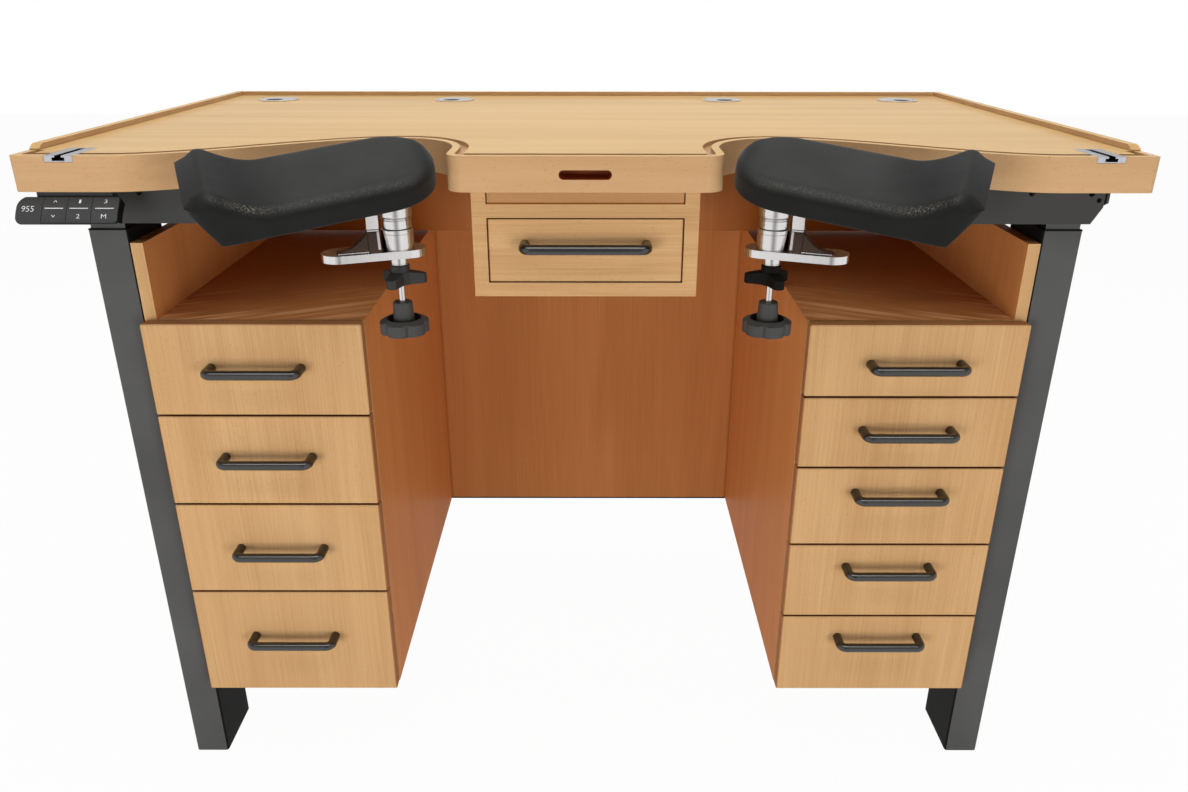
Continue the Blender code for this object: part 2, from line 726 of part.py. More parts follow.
def make_control_box(lift):
    half = CONTROL_WIDTH / 2
    obj = box("control_box", (CONTROL_X - half, CONTROL_FRONT, HANG - CONTROL_HEIGHT),
              (CONTROL_X + half, CONTROL_FRONT + CONTROL_DEPTH, HANG))
    finish(soften(obj, CONTROL_ROUND), GREY, lift)


# Pedestals, drawers and handles

def front_edges(fronts):
    """Top and bottom height of each drawer front, from the top one down."""
    edges = []
    top = SHELF_TOP
    for i, height in enumerate(fronts):
        bottom = top - height
        if i == len(fronts) - 1:
            bottom = CASE_BOTTOM
        edges.append((top, bottom))
        top = bottom
    return edges


def make_pedestal(word, side, fronts, base):
    case = mirrored_box(f"pedestal_case_{word}", side, (KNEE_HALF, 0.0, CASE_BOTTOM),
                        (CASE_OUT, PEDESTAL_DEPTH, SIDE_TOP))
    tools = [mirrored_box("compartment_tool", side, (KNEE_HALF - OVER, -OVER, SHELF_TOP),
                          (CASE_OUT - PANEL, PEDESTAL_DEPTH + OVER, SIDE_TOP + OVER))]
    ceiling = SHELF_TOP - SHELF_THICK
    back = PEDESTAL_DEPTH - PANEL
    for top, bottom in front_edges(fronts):
        tools.append(mirrored_box("bay_tool", side, (KNEE_HALF + PANEL, -OVER, bottom + RUNNER_RISE),
                                  (CASE_OUT - PANEL, back, ceiling)))
        ceiling = bottom + RUNNER_RISE - RUNNER_THICK
    inset = PANEL + RUNNER_WIDTH
    middle_low = (KNEE_HALF + inset, -OVER - SETBACK, CASE_BOTTOM + RUNNER_RISE)
    middle_high = (CASE_OUT - inset, back - SETBACK, SHELF_TOP - SHELF_THICK)
    tools.append(mirrored_box("middle_tool", side, middle_low, middle_high))
    finish(cut(case, *tools), WOOD, base)


def open_box(name, low, high, wall, floor):
    """A drawer box without a lid."""
    pocket_low = (low[0] + wall, low[1] + wall, low[2] + floor)
    pocket_high = (high[0] - wall, high[1] - wall, high[2] + OVER)
    return cut(box(name, low, high), box("pocket_tool", pocket_low, pocket_high))


def make_drawer(name, side, top, bottom, first, slide):
    x_values = sorted((side * KNEE_HALF, side * (CASE_OUT - FRONT_SIDE_GAP)))
    reveal = 0.0 if first else FRONT_REVEAL / 2
    back_of_front = FRONT_FACE + FRONT_THICK
    front = box("front_tool", (x_values[0], FRONT_FACE, bottom + FRONT_REVEAL / 2),
                (x_values[1], back_of_front, top - reveal))
    front = soften(front, FRONT_ROUND, 1)
    inset = PANEL + DRAWER_SIDE_GAP
    x_values = sorted((side * (KNEE_HALF + inset), side * (CASE_OUT - inset)))
    low = (x_values[0], back_of_front - FRONT_TENON, bottom + RUNNER_RISE + GAP)
    high = (x_values[1], PEDESTAL_DEPTH - PANEL - DRAWER_BACK_GAP, top - DRAWER_CLEAR)
    inner_low = (low[0] + DRAWER_WALL, back_of_front + FRONT_LINING, low[2] + DRAWER_FLOOR)
    inner_high = (high[0] - DRAWER_WALL, high[1] - DRAWER_WALL, high[2] + OVER)
    drawer = join(box(name, low, high), front)
    drawer = cut(drawer, box("pocket_tool", inner_low, inner_high))
    finish(drawer, WOOD, slide, (0.0, 0.0, 0.0))


def bow_handle(name, span, x, y, z, slide):
    """A bent round bar: two legs and a straight grip."""
    half = span / 2
    bend = HANDLE_BEND
    reach = HANDLE_REACH
    points = [(half, -GAP)]
    points += arc((half - bend, bend - reach), bend, 0, -90, 4)
    points += mirror(points)
    curve = bpy.data.curves.new(name, "CURVE")
    curve.dimensions = "3D"
    curve.bevel_depth = HANDLE_BAR / 2
    curve.bevel_resolution = 2
    curve.use_fill_caps = True
    spline = curve.splines.new("POLY")
    spline.points.add(len(points) - 1)
    for point, (px, py) in zip(spline.points, points):
        point.co = (px, py, 0.0, 1.0)
    handle = bake(add_object(name, curve))
    transform_mesh(handle, Matrix.Translation((x, y, z)))
    finish(handle, GRAPHITE, slide, (x, y, z))


def make_drawers(word, side, fronts, drops, base):
    middle = side * (KNEE_HALF + CASE_OUT - FRONT_SIDE_GAP) / 2
    for i, (top, bottom) in enumerate(front_edges(fronts)):
        name = f"drawer_{word}_{i + 1}"
        slide = empty(f"{name}_slide", base)
        make_drawer(name, side, top, bottom, i == 0, slide)
        bow_handle(f"handle_{word}_{i + 1}", HANDLE_SPAN, middle, FRONT_FACE, top - drops[i], slide)


def make_back_panels(base, lift):
    half = KNEE_HALF - GAP
    panel = box("knee_back_panel", (-half, PEDESTAL_DEPTH - PANEL, CASE_BOTTOM),
                (half, PEDESTAL_DEPTH, SHELF_TOP + KNEE_PANEL_RISE))
    finish(panel, WOOD, base)
    half = FRAME_INNER_X - GAP
    panel = box("upper_back_panel", (-half, UPPER_PANEL_FRONT, SHELF_TOP + UPPER_PANEL_GAP),
                (half, UPPER_PANEL_FRONT + PANEL, HANG))
    finish(panel, WOOD, lift)


# Centre drawer unit

def make_centre_unit(lift):
    back = CENTRE_FRONT + CENTRE_DEPTH
    bay_half = CENTRE_HALF - CENTRE_PANEL
    bay_low = CENTRE_BOTTOM + CENTRE_PANEL
    bay_high = bay_low + CENTRE_BAY
    tray_low = bay_high + CENTRE_RAIL
    inside = back - PANEL
    case = box("centre_case", (-CENTRE_HALF, CENTRE_FRONT, CENTRE_BOTTOM), (CENTRE_HALF, back, HANG))
    drawer_bay = box("bay_tool", (-bay_half, CENTRE_FRONT - OVER, bay_low), (bay_half, inside, bay_high))
    tray_bay = box("tray_tool", (-bay_half, CENTRE_FRONT - OVER, tray_low), (bay_half, inside, HANG + OVER))
    finish(cut(case, drawer_bay, tray_bay), WOOD, lift)

    reveal = CENTRE_REVEAL
    front_half = bay_half - reveal
    front_back = CENTRE_FRONT + FRONT_THICK
    slide = empty("centre_drawer_slide", lift)
    front = box("front_tool", (-front_half, CENTRE_FRONT, bay_low + reveal),
                (front_half, front_back, bay_high - reveal))
    front = soften(front, CENTRE_FRONT_ROUND, 1)
    side_half = bay_half - DRAWER_SIDE_GAP
    low = (-side_half, front_back - FRONT_TENON, bay_low + GAP)
    high = (side_half, inside - CENTRE_BACK_GAP, bay_high - CENTRE_DRAWER_CLEAR)
    pocket = box("pocket_tool", (low[0] + DRAWER_WALL, front_back + FRONT_LINING, low[2] + DRAWER_FLOOR),
                 (high[0] - DRAWER_WALL, high[1] - DRAWER_WALL, high[2] + OVER))
    drawer = cut(join(box("centre_drawer", low, high), front), pocket)
    finish(drawer, WOOD, slide)
    handle_z = bay_low + CENTRE_HANDLE_RISE
    bow_handle("centre_handle", CENTRE_HANDLE_SPAN, 0.0, CENTRE_FRONT, handle_z, slide)

    slide = empty("centre_tray_slide", lift)
    low = (-front_half, CENTRE_FRONT, tray_low + GAP)
    high = (front_half, inside - CENTRE_BACK_GAP, HANG - TRAY_CLEAR)
    finish(open_box("centre_tray", low, high, DRAWER_WALL, TRAY_FLOOR), WOOD, slide)


# Handset

def face_point(depth, degrees):
    """A point (y, z) of the handset's curved face, or that far behind it."""
    first = math.radians(FACE_START)
    angle = math.radians(degrees)
    radius = FACE_RADIUS - depth
    return (HANDSET_FRONT + FACE_RADIUS * math.cos(first) - radius * math.cos(angle),
            FACE_BOTTOM + radius * math.sin(angle) - FACE_RADIUS * math.sin(first))


def long_slab(name, outline, left, right):
    """An outline in Y and Z with its length along X."""
    lengthways = Matrix(((0, 0, 1, 0), (1, 0, 0, 0), (0, 1, 0, 0), (0, 0, 0, 1)))
    return transform_mesh(slab(name, outline, left, right), lengthways)


def face_shell(name, left, right, front, back, start=FACE_START, end=FACE_END):
    """A length of the curved face between two depths and two angles."""
    turns = [start + (end - start) * i / 8 for i in range(9)]
    outline = [face_point(front, turn) for turn in turns]
    outline += [face_point(back, turn) for turn in reversed(turns)]
    return long_slab(name, outline, left, right)


def handset_outline(left, right, low, high):
    """The handset seen from the front, with a rounder end at the display."""
    points = arc((left + END_ROUND_LOW, low + END_ROUND_LOW), END_ROUND_LOW, 180, 270, 5)
    points += arc((right - KEY_END_ROUND, low + KEY_END_ROUND), KEY_END_ROUND, 270, 360, 4)
    points += arc((right - KEY_END_ROUND, high - KEY_END_ROUND), KEY_END_ROUND, 0, 90, 4)
    points += arc((left + END_ROUND_TOP, high - END_ROUND_TOP), END_ROUND_TOP, 90, 180, 6)
    return points


def trimmed_shell(name, left, right, back, ends, low):
    """A length of the face, trimmed to the handset's front outline above a level."""
    obj = face_shell(name, left, right, 0.0, back, FACE_START - 6, FACE_END)
    top = face_point(0.0, FACE_END)[1] + SETBACK / 4
    outline = handset_outline(*ends, low, top)
    tool = standing_slab("end_tool", outline, HANDSET_FRONT - OVER, HANDSET_FRONT + FACE_RADIUS, 1)
    return boolean(obj, "INTERSECT", [tool])


def make_handset(lift):
    """The face curves back towards its top. Three keys are slices of it that rock on a rib behind them,
    and a tongue behind the body hangs it from the top and reaches back to the frame."""
    ends = (HANDSET_X - HANDSET_WIDTH / 2, HANDSET_X + HANDSET_WIDTH / 2)
    far = ends[1] + OVER
    first = ends[0] + DISPLAY_WIDTH
    middle = (FACE_START + FACE_END) / 2
    before, after = FACE_START - 8, FACE_END + 4
    body = trimmed_shell("handset_body", ends[0] - OVER, far, HANDSET_THICK, ends, FACE_BOTTOM - HANDSET_LIP)
    room = face_shell("key_tool", first, far + OVER, -OVER, KEY_DEPTH + GAP, before, after)
    floor = FACE_BOTTOM - KEY_END_GAP
    below = box("floor_tool", (first - OVER, HANDSET_FRONT - 2 * OVER, floor - FACE_RADIUS),
                (far + 2 * OVER, HANDSET_FRONT + FACE_RADIUS, floor))
    tools = [cut(room, below)]
    for low, high in ((FACE_START + RIB_ANGLE, middle - RIB_ANGLE), (middle + RIB_ANGLE, after)):
        tools.append(face_shell("rock_tool", first + KEY_SEAM / 2, far, KEY_DEPTH / 2,
                                KEY_DEPTH + KEY_SPACE, low, high))
    body = cut(body, *tools)
    tongue_left = HANDSET_X + TONGUE_SHIFT - TONGUE_WIDTH / 2
    tongue_right = tongue_left + TONGUE_WIDTH
    front = HANDSET_FRONT + TONGUE_SETBACK
    back = front + TONGUE_THICK
    inside = (KEY_DEPTH + KEY_SPACE + HANDSET_THICK) / 2
    profile = [face_point(inside, angle) for angle in (middle - 4, middle + 4, FACE_END - 3)]
    profile += [(front, HANG - TONGUE_DROP / 2), (front, HANG), (back, HANG), (back, HANG - TONGUE_DROP)]
    tongue = long_slab("tongue_tool", profile, tongue_left, tongue_right)
    plate = box("plate_tool", (tongue_left + SETBACK, front + SETBACK, HANG - TONGUE_PLATE),
                (tongue_right - SETBACK, -FRAME_SHEET - TONGUE_TO_FRAME, HANG - GAP / 2))
    finish(join(body, tongue, plate), GREY, lift)
    y, z = face_point(KEY_DEPTH, middle)
    for i in range(3):
        start = first + i * KEY_PITCH + KEY_SEAM
        stop = first + (i + 1) * KEY_PITCH if i < 2 else far
        key = trimmed_shell(f"handset_key_{i + 1}", start, stop, KEY_DEPTH, ends, FACE_BOTTOM)
        finish(key, BLACK, lift, Vector(((start + min(stop, ends[1])) / 2, y, z)))


# Armrests

def pad_top(s):
    """Height of the pad's upper face along its length: flat, then a hollow up to the crest."""
    if s <= PAD_VALLEY:
        return PAD_THICK
    if s <= PAD_CREST:
        t = (s - PAD_VALLEY) / (PAD_CREST - PAD_VALLEY)
        return PAD_THICK + (PAD_CREST_HEIGHT - PAD_THICK) * t ** 1.8
    t = (s - PAD_CREST) / (PAD_TIP - PAD_CREST)
    return PAD_CREST_HEIGHT + (PAD_TIP_HEIGHT - PAD_CREST_HEIGHT) * t


def pad_bottom(s):
    if s <= PAD_FLAT_END:
        return 0.0
    t = (s - PAD_FLAT_END) / (PAD_TIP - PAD_FLAT_END)
    return PAD_TIP_HEIGHT * t


def pad_section(s):
    """One ring of points round the pad: rounded corners, a crowned top, drawn-in sides and a narrower tip."""
    narrowing = max(0.0, s - PAD_TAPER_START) / (PAD_TIP - PAD_TAPER_START)
    half = PAD_HALF - PAD_TAPER * narrowing ** 2
    top = pad_top(s)
    bottom = pad_bottom(s)
    if s < 0.0:
        half = math.sqrt(max(PAD_HALF ** 2 - s ** 2, 0.0))
        from_end = PAD_HALF + s
        if from_end < PAD_EDGE:
            fall = PAD_EDGE - math.sqrt(PAD_EDGE ** 2 - (PAD_EDGE - from_end) ** 2)
            top -= fall
            bottom += fall * PAD_LOW_EDGE / PAD_EDGE
    edge = min(PAD_EDGE, half * 0.9, (top - bottom) * 0.42)
    low_edge = min(PAD_LOW_EDGE, edge)
    points = []
    for w, start in ((half - edge, 0), (edge - half, 90)):
        points += arc((w, top - edge), edge, start, start + 90, 4)
    low_half = half - PAD_TUCK * min(1.0, half / PAD_HALF)
    for x, start in ((low_edge - low_half, 180), (low_half - low_edge, 270)):
        points += arc((x, bottom + low_edge), low_edge, start, start + 90, 2)
    ring = []
    for i, (w, h) in enumerate(points):
        if i == 5:
            ring += [(half * 0.45, top), (0.0, top), (-half * 0.45, top)]
        ring.append((w, h))
    thickness = max(top - bottom, 0.001)
    crowned = []
    for w, h in ring:
        level = (h - bottom) / thickness
        lift = PAD_CROWN * (1 - min(1.0, (w / max(half, 0.001)) ** 2)) * max(0.0, level * 2 - 1)
        crowned.append((w, h + lift - PAD_CROWN * max(0.0, level * 2 - 1)))
    return crowned


def make_pad(name, side):
    stations = [-PAD_HALF * math.cos(math.radians(angle)) for angle in (14, 26, 39, 53, 70)]
    stations += [PAD_VALLEY * t for t in (0.0, 0.25, 0.5, 0.75, 1.0)]
    rise = PAD_CREST - PAD_VALLEY
    stations += [PAD_VALLEY + rise * t for t in (0.2, 0.4, 0.6, 0.78, 0.9, 1.0)]
    stations += [PAD_CREST + (PAD_TIP - PAD_CREST) * t for t in (0.3, 0.6, 0.82)]
    bm = bmesh.new()
    rings = []
    for s in stations:
        rings.append([bm.verts.new((side * s, w, h)) for w, h in pad_section(s)])
    count = len(rings[0])
    for first, second in zip(rings, rings[1:]):
        for i in range(count):
            j = (i + 1) % count
            bm.faces.new((first[i], first[j], second[j], second[i]))
    bm.faces.new(rings[0])
    bm.faces.new(rings[-1])
    return mesh_from(name, bm)


def stadium(low, high, half):
    right = arc((high - half, 0.0), half, -90, 90, 8)
    left = arc((low + half, 0.0), half, 90, 270, 8)
    return right + left


def polar(radius, degrees):
    return radius * math.cos(math.radians(degrees)), radius * math.sin(math.radians(degrees))


def star_outline(turn):
    """Three arms with round tips and round valleys between them."""
    points = []
    for i in range(3):
        direction = turn + 120 * i
        centre = polar(STAR_REACH - STAR_ARM_HALF, direction)
        points.append(polar(STAR_VALLEY, direction - 60))
        points.append(polar(STAR_VALLEY * 1.12, direction - 36))
        points += arc(centre, STAR_ARM_HALF, direction - 80, direction + 80, 6)
        points.append(polar(STAR_VALLEY * 1.12, direction + 36))
    return points


def lobed_outline(turn):
    """Round knob with a small notch between its lobes."""
    points = []
    step = 360 / KNOB_LOBES
    for i in range(KNOB_LOBES):
        notch = turn + i * step
        points.append(polar(KNOB_RADIUS - KNOB_NOTCH, notch))
        points.append(polar(KNOB_RADIUS - KNOB_NOTCH / 3, notch + step * 0.1))
        for share in (0.22, 0.41, 0.59, 0.78):
            points.append(polar(KNOB_RADIUS, notch + step * share))
        points.append(polar(KNOB_RADIUS - KNOB_NOTCH / 3, notch + step * 0.9))
    return points


def make_bracket(word, side, arm):
    """Clamp plate with collar, bush, gusset and upright, and the bar that carries it from the top."""
    plate = slab(f"arm_bracket_{word}", stadium(PLATE_INNER, PLATE_OUTER, PLATE_HALF),
                 PLATE_TOP - PLATE_THICK, PLATE_TOP)
    transform_mesh(plate, Matrix.Scale(side, 4, (1, 0, 0)))
    plate = soften(plate, PLATE_ROUND, 1, 60)
    inside = PLATE_TOP - PLATE_THICK / 2
    collar = cylinder("collar_tool", COLLAR_RADIUS, inside, PLATE_TOP + COLLAR_HEIGHT)
    bush = cylinder("bush_tool", BUSH_RADIUS, STAR_TOP + GAP, inside, segments=24)
    foot = PLATE_TOP - SINK
    crown = PLATE_TOP + GUSSET_HEIGHT
    gusset_outline = [(GUSSET_INNER, foot), (GUSSET_OUTER, foot)]
    tip = Vector((GUSSET_OUTER, PLATE_TOP + SINK))
    top = Vector((UPRIGHT_OUTER + SINK, crown + SINK))
    inwards = Vector((tip.y - top.y, top.x - tip.x)).normalized()
    for t in (0.0, 0.2, 0.4, 0.6, 0.8, 1.0):
        gusset_outline.append(tuple(tip.lerp(top, t) + inwards * GUSSET_HOLLOW * 4 * t * (1 - t)))
    gusset_outline.append((GUSSET_INNER, crown + SINK))
    gusset = standing_slab("gusset_tool", gusset_outline, -GUSSET_THICK / 2, GUSSET_THICK / 2, side)
    upright = mirrored_box("upright_tool", side, (UPRIGHT_INNER, UPRIGHT_FRONT, foot),
                           (UPRIGHT_OUTER, UPRIGHT_BACK, UPRIGHT_TOP))
    bar_low = (UPRIGHT_INNER + SETBACK, (UPRIGHT_FRONT + UPRIGHT_BACK) / 2, UPRIGHT_TOP - ARM_BAR_DEPTH)
    bar_end = ARM_RISER_W + ARM_RISER_DEPTH + SETBACK
    bar_high = (UPRIGHT_OUTER - SETBACK, bar_end, UPRIGHT_TOP - SETBACK / 2)
    bar = mirrored_box("bar_tool", side, bar_low, bar_high)
    riser_low = (UPRIGHT_INNER + 2 * SETBACK, ARM_RISER_W, UPRIGHT_TOP - ARM_BAR_DEPTH + SETBACK)
    riser_high = (UPRIGHT_OUTER - 2 * SETBACK, ARM_RISER_W + ARM_RISER_DEPTH, HANG - SETBACK)
    riser = mirrored_box("riser_tool", side, riser_low, riser_high)
    flange = mirrored_box("flange_tool", side, (ARM_FLANGE_S[0], ARM_FLANGE_W[0], HANG - ARM_FLANGE_THICK),
                          (ARM_FLANGE_S[1], ARM_FLANGE_W[1], HANG))
    bracket = join(plate, collar, bush, gusset, upright, bar, riser, flange)
    bore = cylinder("bore_tool", STEM_RADIUS + GAP, PLATE_TOP, PLATE_TOP + COLLAR_HEIGHT + OVER)
    finish(cut(bracket, bore), POLISHED, arm)


def make_post(word, swivel, pad_frame):
    """Turned post with two rings. Its top end is cut to the slope of the pad."""
    low = PLATE_TOP + GAP
    top = PAD_BASE_Z + UPPER_RING_RADIUS
    profile = [(0.0, top), (UPPER_RING_RADIUS, top), (UPPER_RING_RADIUS, RING_NECK_TOP + CHAMFER),
               (UPPER_RING_RADIUS - CHAMFER, RING_NECK_TOP), (RING_NECK_RADIUS, RING_NECK_TOP),
               (RING_NECK_RADIUS, LOWER_RING_TOP), (LOWER_RING_RADIUS - CHAMFER, LOWER_RING_TOP),
               (LOWER_RING_RADIUS, LOWER_RING_TOP - CHAMFER), (LOWER_RING_RADIUS, POST_SEAT),
               (STEM_RADIUS, POST_SEAT), (STEM_RADIUS, low), (0.0, low)]
    post = turned(f"arm_post_{word}", profile)
    past = PAD_HALF * 2
    tool = transform_mesh(box("slope_tool", (-past, -past, -GAP), (past, past, past)), pad_frame)
    finish(cut(post, tool), POLISHED, swivel)


def make_star_knob(word, side, arm):
    """Three-armed clamp knob, turned as it stands on the bench. The arms fall towards their tips."""
    arm_top = STAR_TOP - STAR_ARM_TOP
    turn = 90 + side * (90 - STAR_TURN)
    knob = slab(f"star_knob_{word}", star_outline(turn), STAR_BOTTOM, arm_top)
    far = STAR_REACH + OVER
    slope = turned("slope_tool", [(0.0, arm_top + OVER), (far, arm_top + OVER),
                                  (far, arm_top - STAR_TIP_DROP), (STAR_HUB, arm_top), (0.0, arm_top)])
    knob = soften(cut(knob, slope), STAR_ROUND, 1, 60)
    knob = transform_mesh(knob, Matrix.Rotation(side * ARM_YAW, 4, "Z"))
    hub = cylinder("hub_tool", STAR_HUB, (arm_top + STAR_BOTTOM) / 2, STAR_TOP, segments=24)
    bore = cylinder("bore_tool", ROD_RADIUS + GAP, STAR_BOTTOM - OVER, STAR_TOP + OVER, segments=16)
    finish(cut(join(knob, hub), bore), BLACK, arm)


def make_lower_knob(word, side, arm):
    """Lobed knob with a dished top, a hub and the clamp rod that enters the star knob."""
    rim = KNOB_TOP - KNOB_RIM_DROP
    bottom = KNOB_TOP - KNOB_HEIGHT
    turn = math.degrees(side * ARM_YAW) - 90 - side * KNOB_TURN
    head = soften(slab(f"lower_knob_{word}", lobed_outline(turn), bottom, rim), KNOB_ROUND, 2, 60)
    floor = rim - KNOB_DISH_DEPTH
    dish = turned("dish_tool", [(0.0, rim + OVER), (KNOB_DISH + SINK, rim + OVER), (KNOB_DISH, rim),
                                (KNOB_DISH - KNOB_DISH_SLOPE, floor), (0.0, floor)])
    head = cut(head, dish)
    rod_top = STAR_BOTTOM + ROD_GRIP
    foot = floor - SINK
    hub = turned("hub_tool", [(0.0, rod_top), (ROD_RADIUS, rod_top), (ROD_RADIUS, KNOB_TOP),
                              (KNOB_HUB - CHAMFER, KNOB_TOP), (KNOB_HUB, KNOB_TOP - CHAMFER),
                              (KNOB_HUB + KNOB_HUB_FLARE, foot), (0.0, foot)], 24)
    finish(join(head, hub), BLACK, arm)


def make_armrests(lift):
    for side, word in ((-1, "left"), (1, "right")):
        place = (side * ARM_X, ARM_Y, 0.0)
        turn = (0.0, 0.0, -side * ARM_YAW)
        arm = empty(f"arm_frame_{word}", lift, place, turn)
        swivel = empty(f"arm_swivel_{word}", arm)
        slope = Euler((PAD_TILT, side * PAD_SLOPE, -side * PAD_TURN), "XYZ").to_matrix().to_4x4()
        pad_frame = Matrix.Translation((side * PAD_OFFSET, 0.0, PAD_BASE_Z)) @ slope
        make_bracket(word, side, arm)
        make_post(word, swivel, pad_frame)
        pad = transform_mesh(make_pad(f"arm_pad_{word}", side), pad_frame)
        finish(pad, LEATHER, swivel)
        make_star_knob(word, side, arm)
        make_lower_knob(word, side, arm)


# Assembly

def build():
    root = empty("bench_root")
    base = empty("base", root)
    lift = empty("lift", root)
    make_legs(base, lift)
    make_pedestal("left", -1, LEFT_FRONTS, base)
    make_pedestal("right", 1, RIGHT_FRONTS, base)
    make_back_panels(base, lift)
    make_drawers("left", -1, LEFT_FRONTS, LEFT_HANDLE_DROPS, base)
    make_drawers("right", 1, RIGHT_FRONTS, RIGHT_HANDLE_DROPS, base)
    make_side_frames(lift)
    make_cross_rail(lift)
    make_control_box(lift)
    make_bench_top(lift)
    make_top_rim(lift)
    make_rings(lift)
    make_t_rails(lift)
    make_centre_unit(lift)
    make_handset(lift)
    make_armrests(lift)
    centre_on_origin(root)


def centre_on_origin(root):
    """Move the whole bench so that the middle of its box stands on the origin."""
    bpy.context.view_layer.update()
    points = []
    for obj in PARTS.objects:
        if obj.type == "MESH":
            points += [obj.matrix_world @ vertex.co for vertex in obj.data.vertices]
    middle_x = (min(p.x for p in points) + max(p.x for p in points)) / 2
    middle_y = (min(p.y for p in points) + max(p.y for p in points)) / 2
    root.location = (-middle_x, -middle_y, -min(p.z for p in points))
    bpy.context.view_layer.update()
    print("moved by", [round(value, 5) for value in root.location])


build()
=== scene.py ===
"""Watchmaker's bench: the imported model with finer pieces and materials, lit and framed like the photo."""
import json
import math

import bmesh
import bpy
from mathutils import Euler, Matrix, Vector


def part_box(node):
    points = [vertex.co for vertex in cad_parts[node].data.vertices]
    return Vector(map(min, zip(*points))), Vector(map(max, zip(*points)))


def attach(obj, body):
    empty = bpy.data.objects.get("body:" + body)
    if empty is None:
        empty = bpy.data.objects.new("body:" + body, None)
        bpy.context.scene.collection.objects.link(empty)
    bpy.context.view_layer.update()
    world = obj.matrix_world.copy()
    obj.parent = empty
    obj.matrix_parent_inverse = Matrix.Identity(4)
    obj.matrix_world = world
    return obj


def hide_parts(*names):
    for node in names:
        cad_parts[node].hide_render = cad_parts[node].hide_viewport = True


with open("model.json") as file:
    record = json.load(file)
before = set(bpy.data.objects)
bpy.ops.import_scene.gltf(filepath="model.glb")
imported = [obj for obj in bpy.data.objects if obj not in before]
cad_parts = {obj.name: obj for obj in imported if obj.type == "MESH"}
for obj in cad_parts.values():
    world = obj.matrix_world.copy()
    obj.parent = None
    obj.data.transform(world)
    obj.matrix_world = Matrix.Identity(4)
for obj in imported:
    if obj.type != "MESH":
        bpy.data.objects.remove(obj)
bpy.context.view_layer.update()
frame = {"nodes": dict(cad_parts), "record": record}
nodes = frame["nodes"]

# Pieces are shaped in a frame whose Y = 0 is the front face of the front legs, and moved by SHIFT.
SHIFT = Vector((0.0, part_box("leg_tube_left_front")[0].y, 0.0))
TOP, UNDERSIDE = 0.955, 0.912
SIDES = ((-1, "left"), (1, "right"))


# Materials

class Nodes:
    """A node tree with short ways to add nodes to it."""

    def __init__(self, tree):
        self.tree = tree

    def node(self, kind, inputs=(), **attributes):
        node = self.tree.nodes.new(kind)
        for key, value in attributes.items():
            setattr(node, key, value)
        for key, value in dict(inputs).items():
            if isinstance(value, bpy.types.NodeSocket):
                self.tree.links.new(value, node.inputs[key])
            else:
                node.inputs[key].default_value = value
        return node

    def maths(self, operation, first, second=0.0):
        return self.node("ShaderNodeMath", {0: first, 1: second}, operation=operation).outputs[0]

    def times(self, first, second):
        return self.maths("MULTIPLY", first, second)

    def vectors(self, operation, first, second):
        return self.node("ShaderNodeVectorMath", {0: first, 1: second}, operation=operation).outputs

    def spread(self, value, low, high, out_low=0.0, out_high=1.0):
        return self.node("ShaderNodeMapRange", {"Value": value, "From Min": low, "From Max": high,
                                                "To Min": out_low, "To Max": out_high}).outputs["Result"]

    def axis(self, kind, letter):
        """One axis of a texture coordinate."""
        vector = self.node("ShaderNodeTexCoord").outputs[kind]
        return self.node("ShaderNodeSeparateXYZ", {"Vector": vector}).outputs[letter]

    def rays(self, *kinds):
        """1 for rays of the kinds named, 0 for all others."""
        paths = self.node("ShaderNodeLightPath").outputs
        share = 0.0
        for kind in kinds:
            share = self.maths("MAXIMUM", paths[f"Is {kind} Ray"], share)
        return share


class Paint(Nodes):
    """A material with a Principled shader."""

    def __init__(self, name, **settings):
        self.material = bpy.data.materials.new(name)
        self.material.use_nodes = True
        super().__init__(self.material.node_tree)
        self.shader = self.tree.nodes["Principled BSDF"]
        for socket, value in settings.items():
            words = socket.replace("_", " ").title().replace("Ior", "IOR")
            self.shader.inputs[words].default_value = value

    def link(self, output, socket):
        self.tree.links.new(output, self.shader.inputs[socket])

    def place(self, stretch=(1.0, 1.0, 1.0), spread=0.0):
        """Object coordinates, stretched, and moved by a different amount on each object."""
        coords = self.node("ShaderNodeTexCoord").outputs["Object"]
        if spread:
            info = self.node("ShaderNodeObjectInfo").outputs["Random"]
            moved = self.vectors("MULTIPLY", info, (spread, spread * 0.7, spread * 1.3))[0]
            coords = self.vectors("ADD", coords, moved)[0]
        return self.vectors("MULTIPLY", coords, stretch)[0]

    def noise(self, vector, scale, detail=2.0, roughness=0.5, distortion=0.0):
        inputs = {"Vector": vector, "Scale": scale, "Detail": detail, "Roughness": roughness,
                  "Distortion": distortion}
        return self.node("ShaderNodeTexNoise", inputs).outputs["Fac"]

    def ramp(self, value, stops):
        node = self.node("ShaderNodeValToRGB", {"Fac": value})
        elements = node.color_ramp.elements
        while len(elements) < len(stops):
            elements.new(0.5)
        for element, (position, color) in zip(elements, stops):
            element.position = position
            element.color = (*color, 1.0)
        return node.outputs["Color"]

    def mix(self, factor, first, second, blend="MIX"):
        """Two colours mixed; the node's colour sockets are 6 and 7, and its colour output is 2."""
        first, second = [(*c, 1.0) if isinstance(c, tuple) else c for c in (first, second)]
        sockets = {0: factor, 6: first, 7: second}
        return self.node("ShaderNodeMix", sockets, data_type="RGBA", blend_type=blend).outputs[2]

    def rough(self, noise, low, high):
        self.link(self.spread(noise, 0.3, 0.7, low, high), "Roughness")

    def bump(self, height, strength, distance):
        node = self.node("ShaderNodeBump", {"Height": height, "Strength": strength, "Distance": distance})
        self.link(node.outputs["Normal"], "Normal")


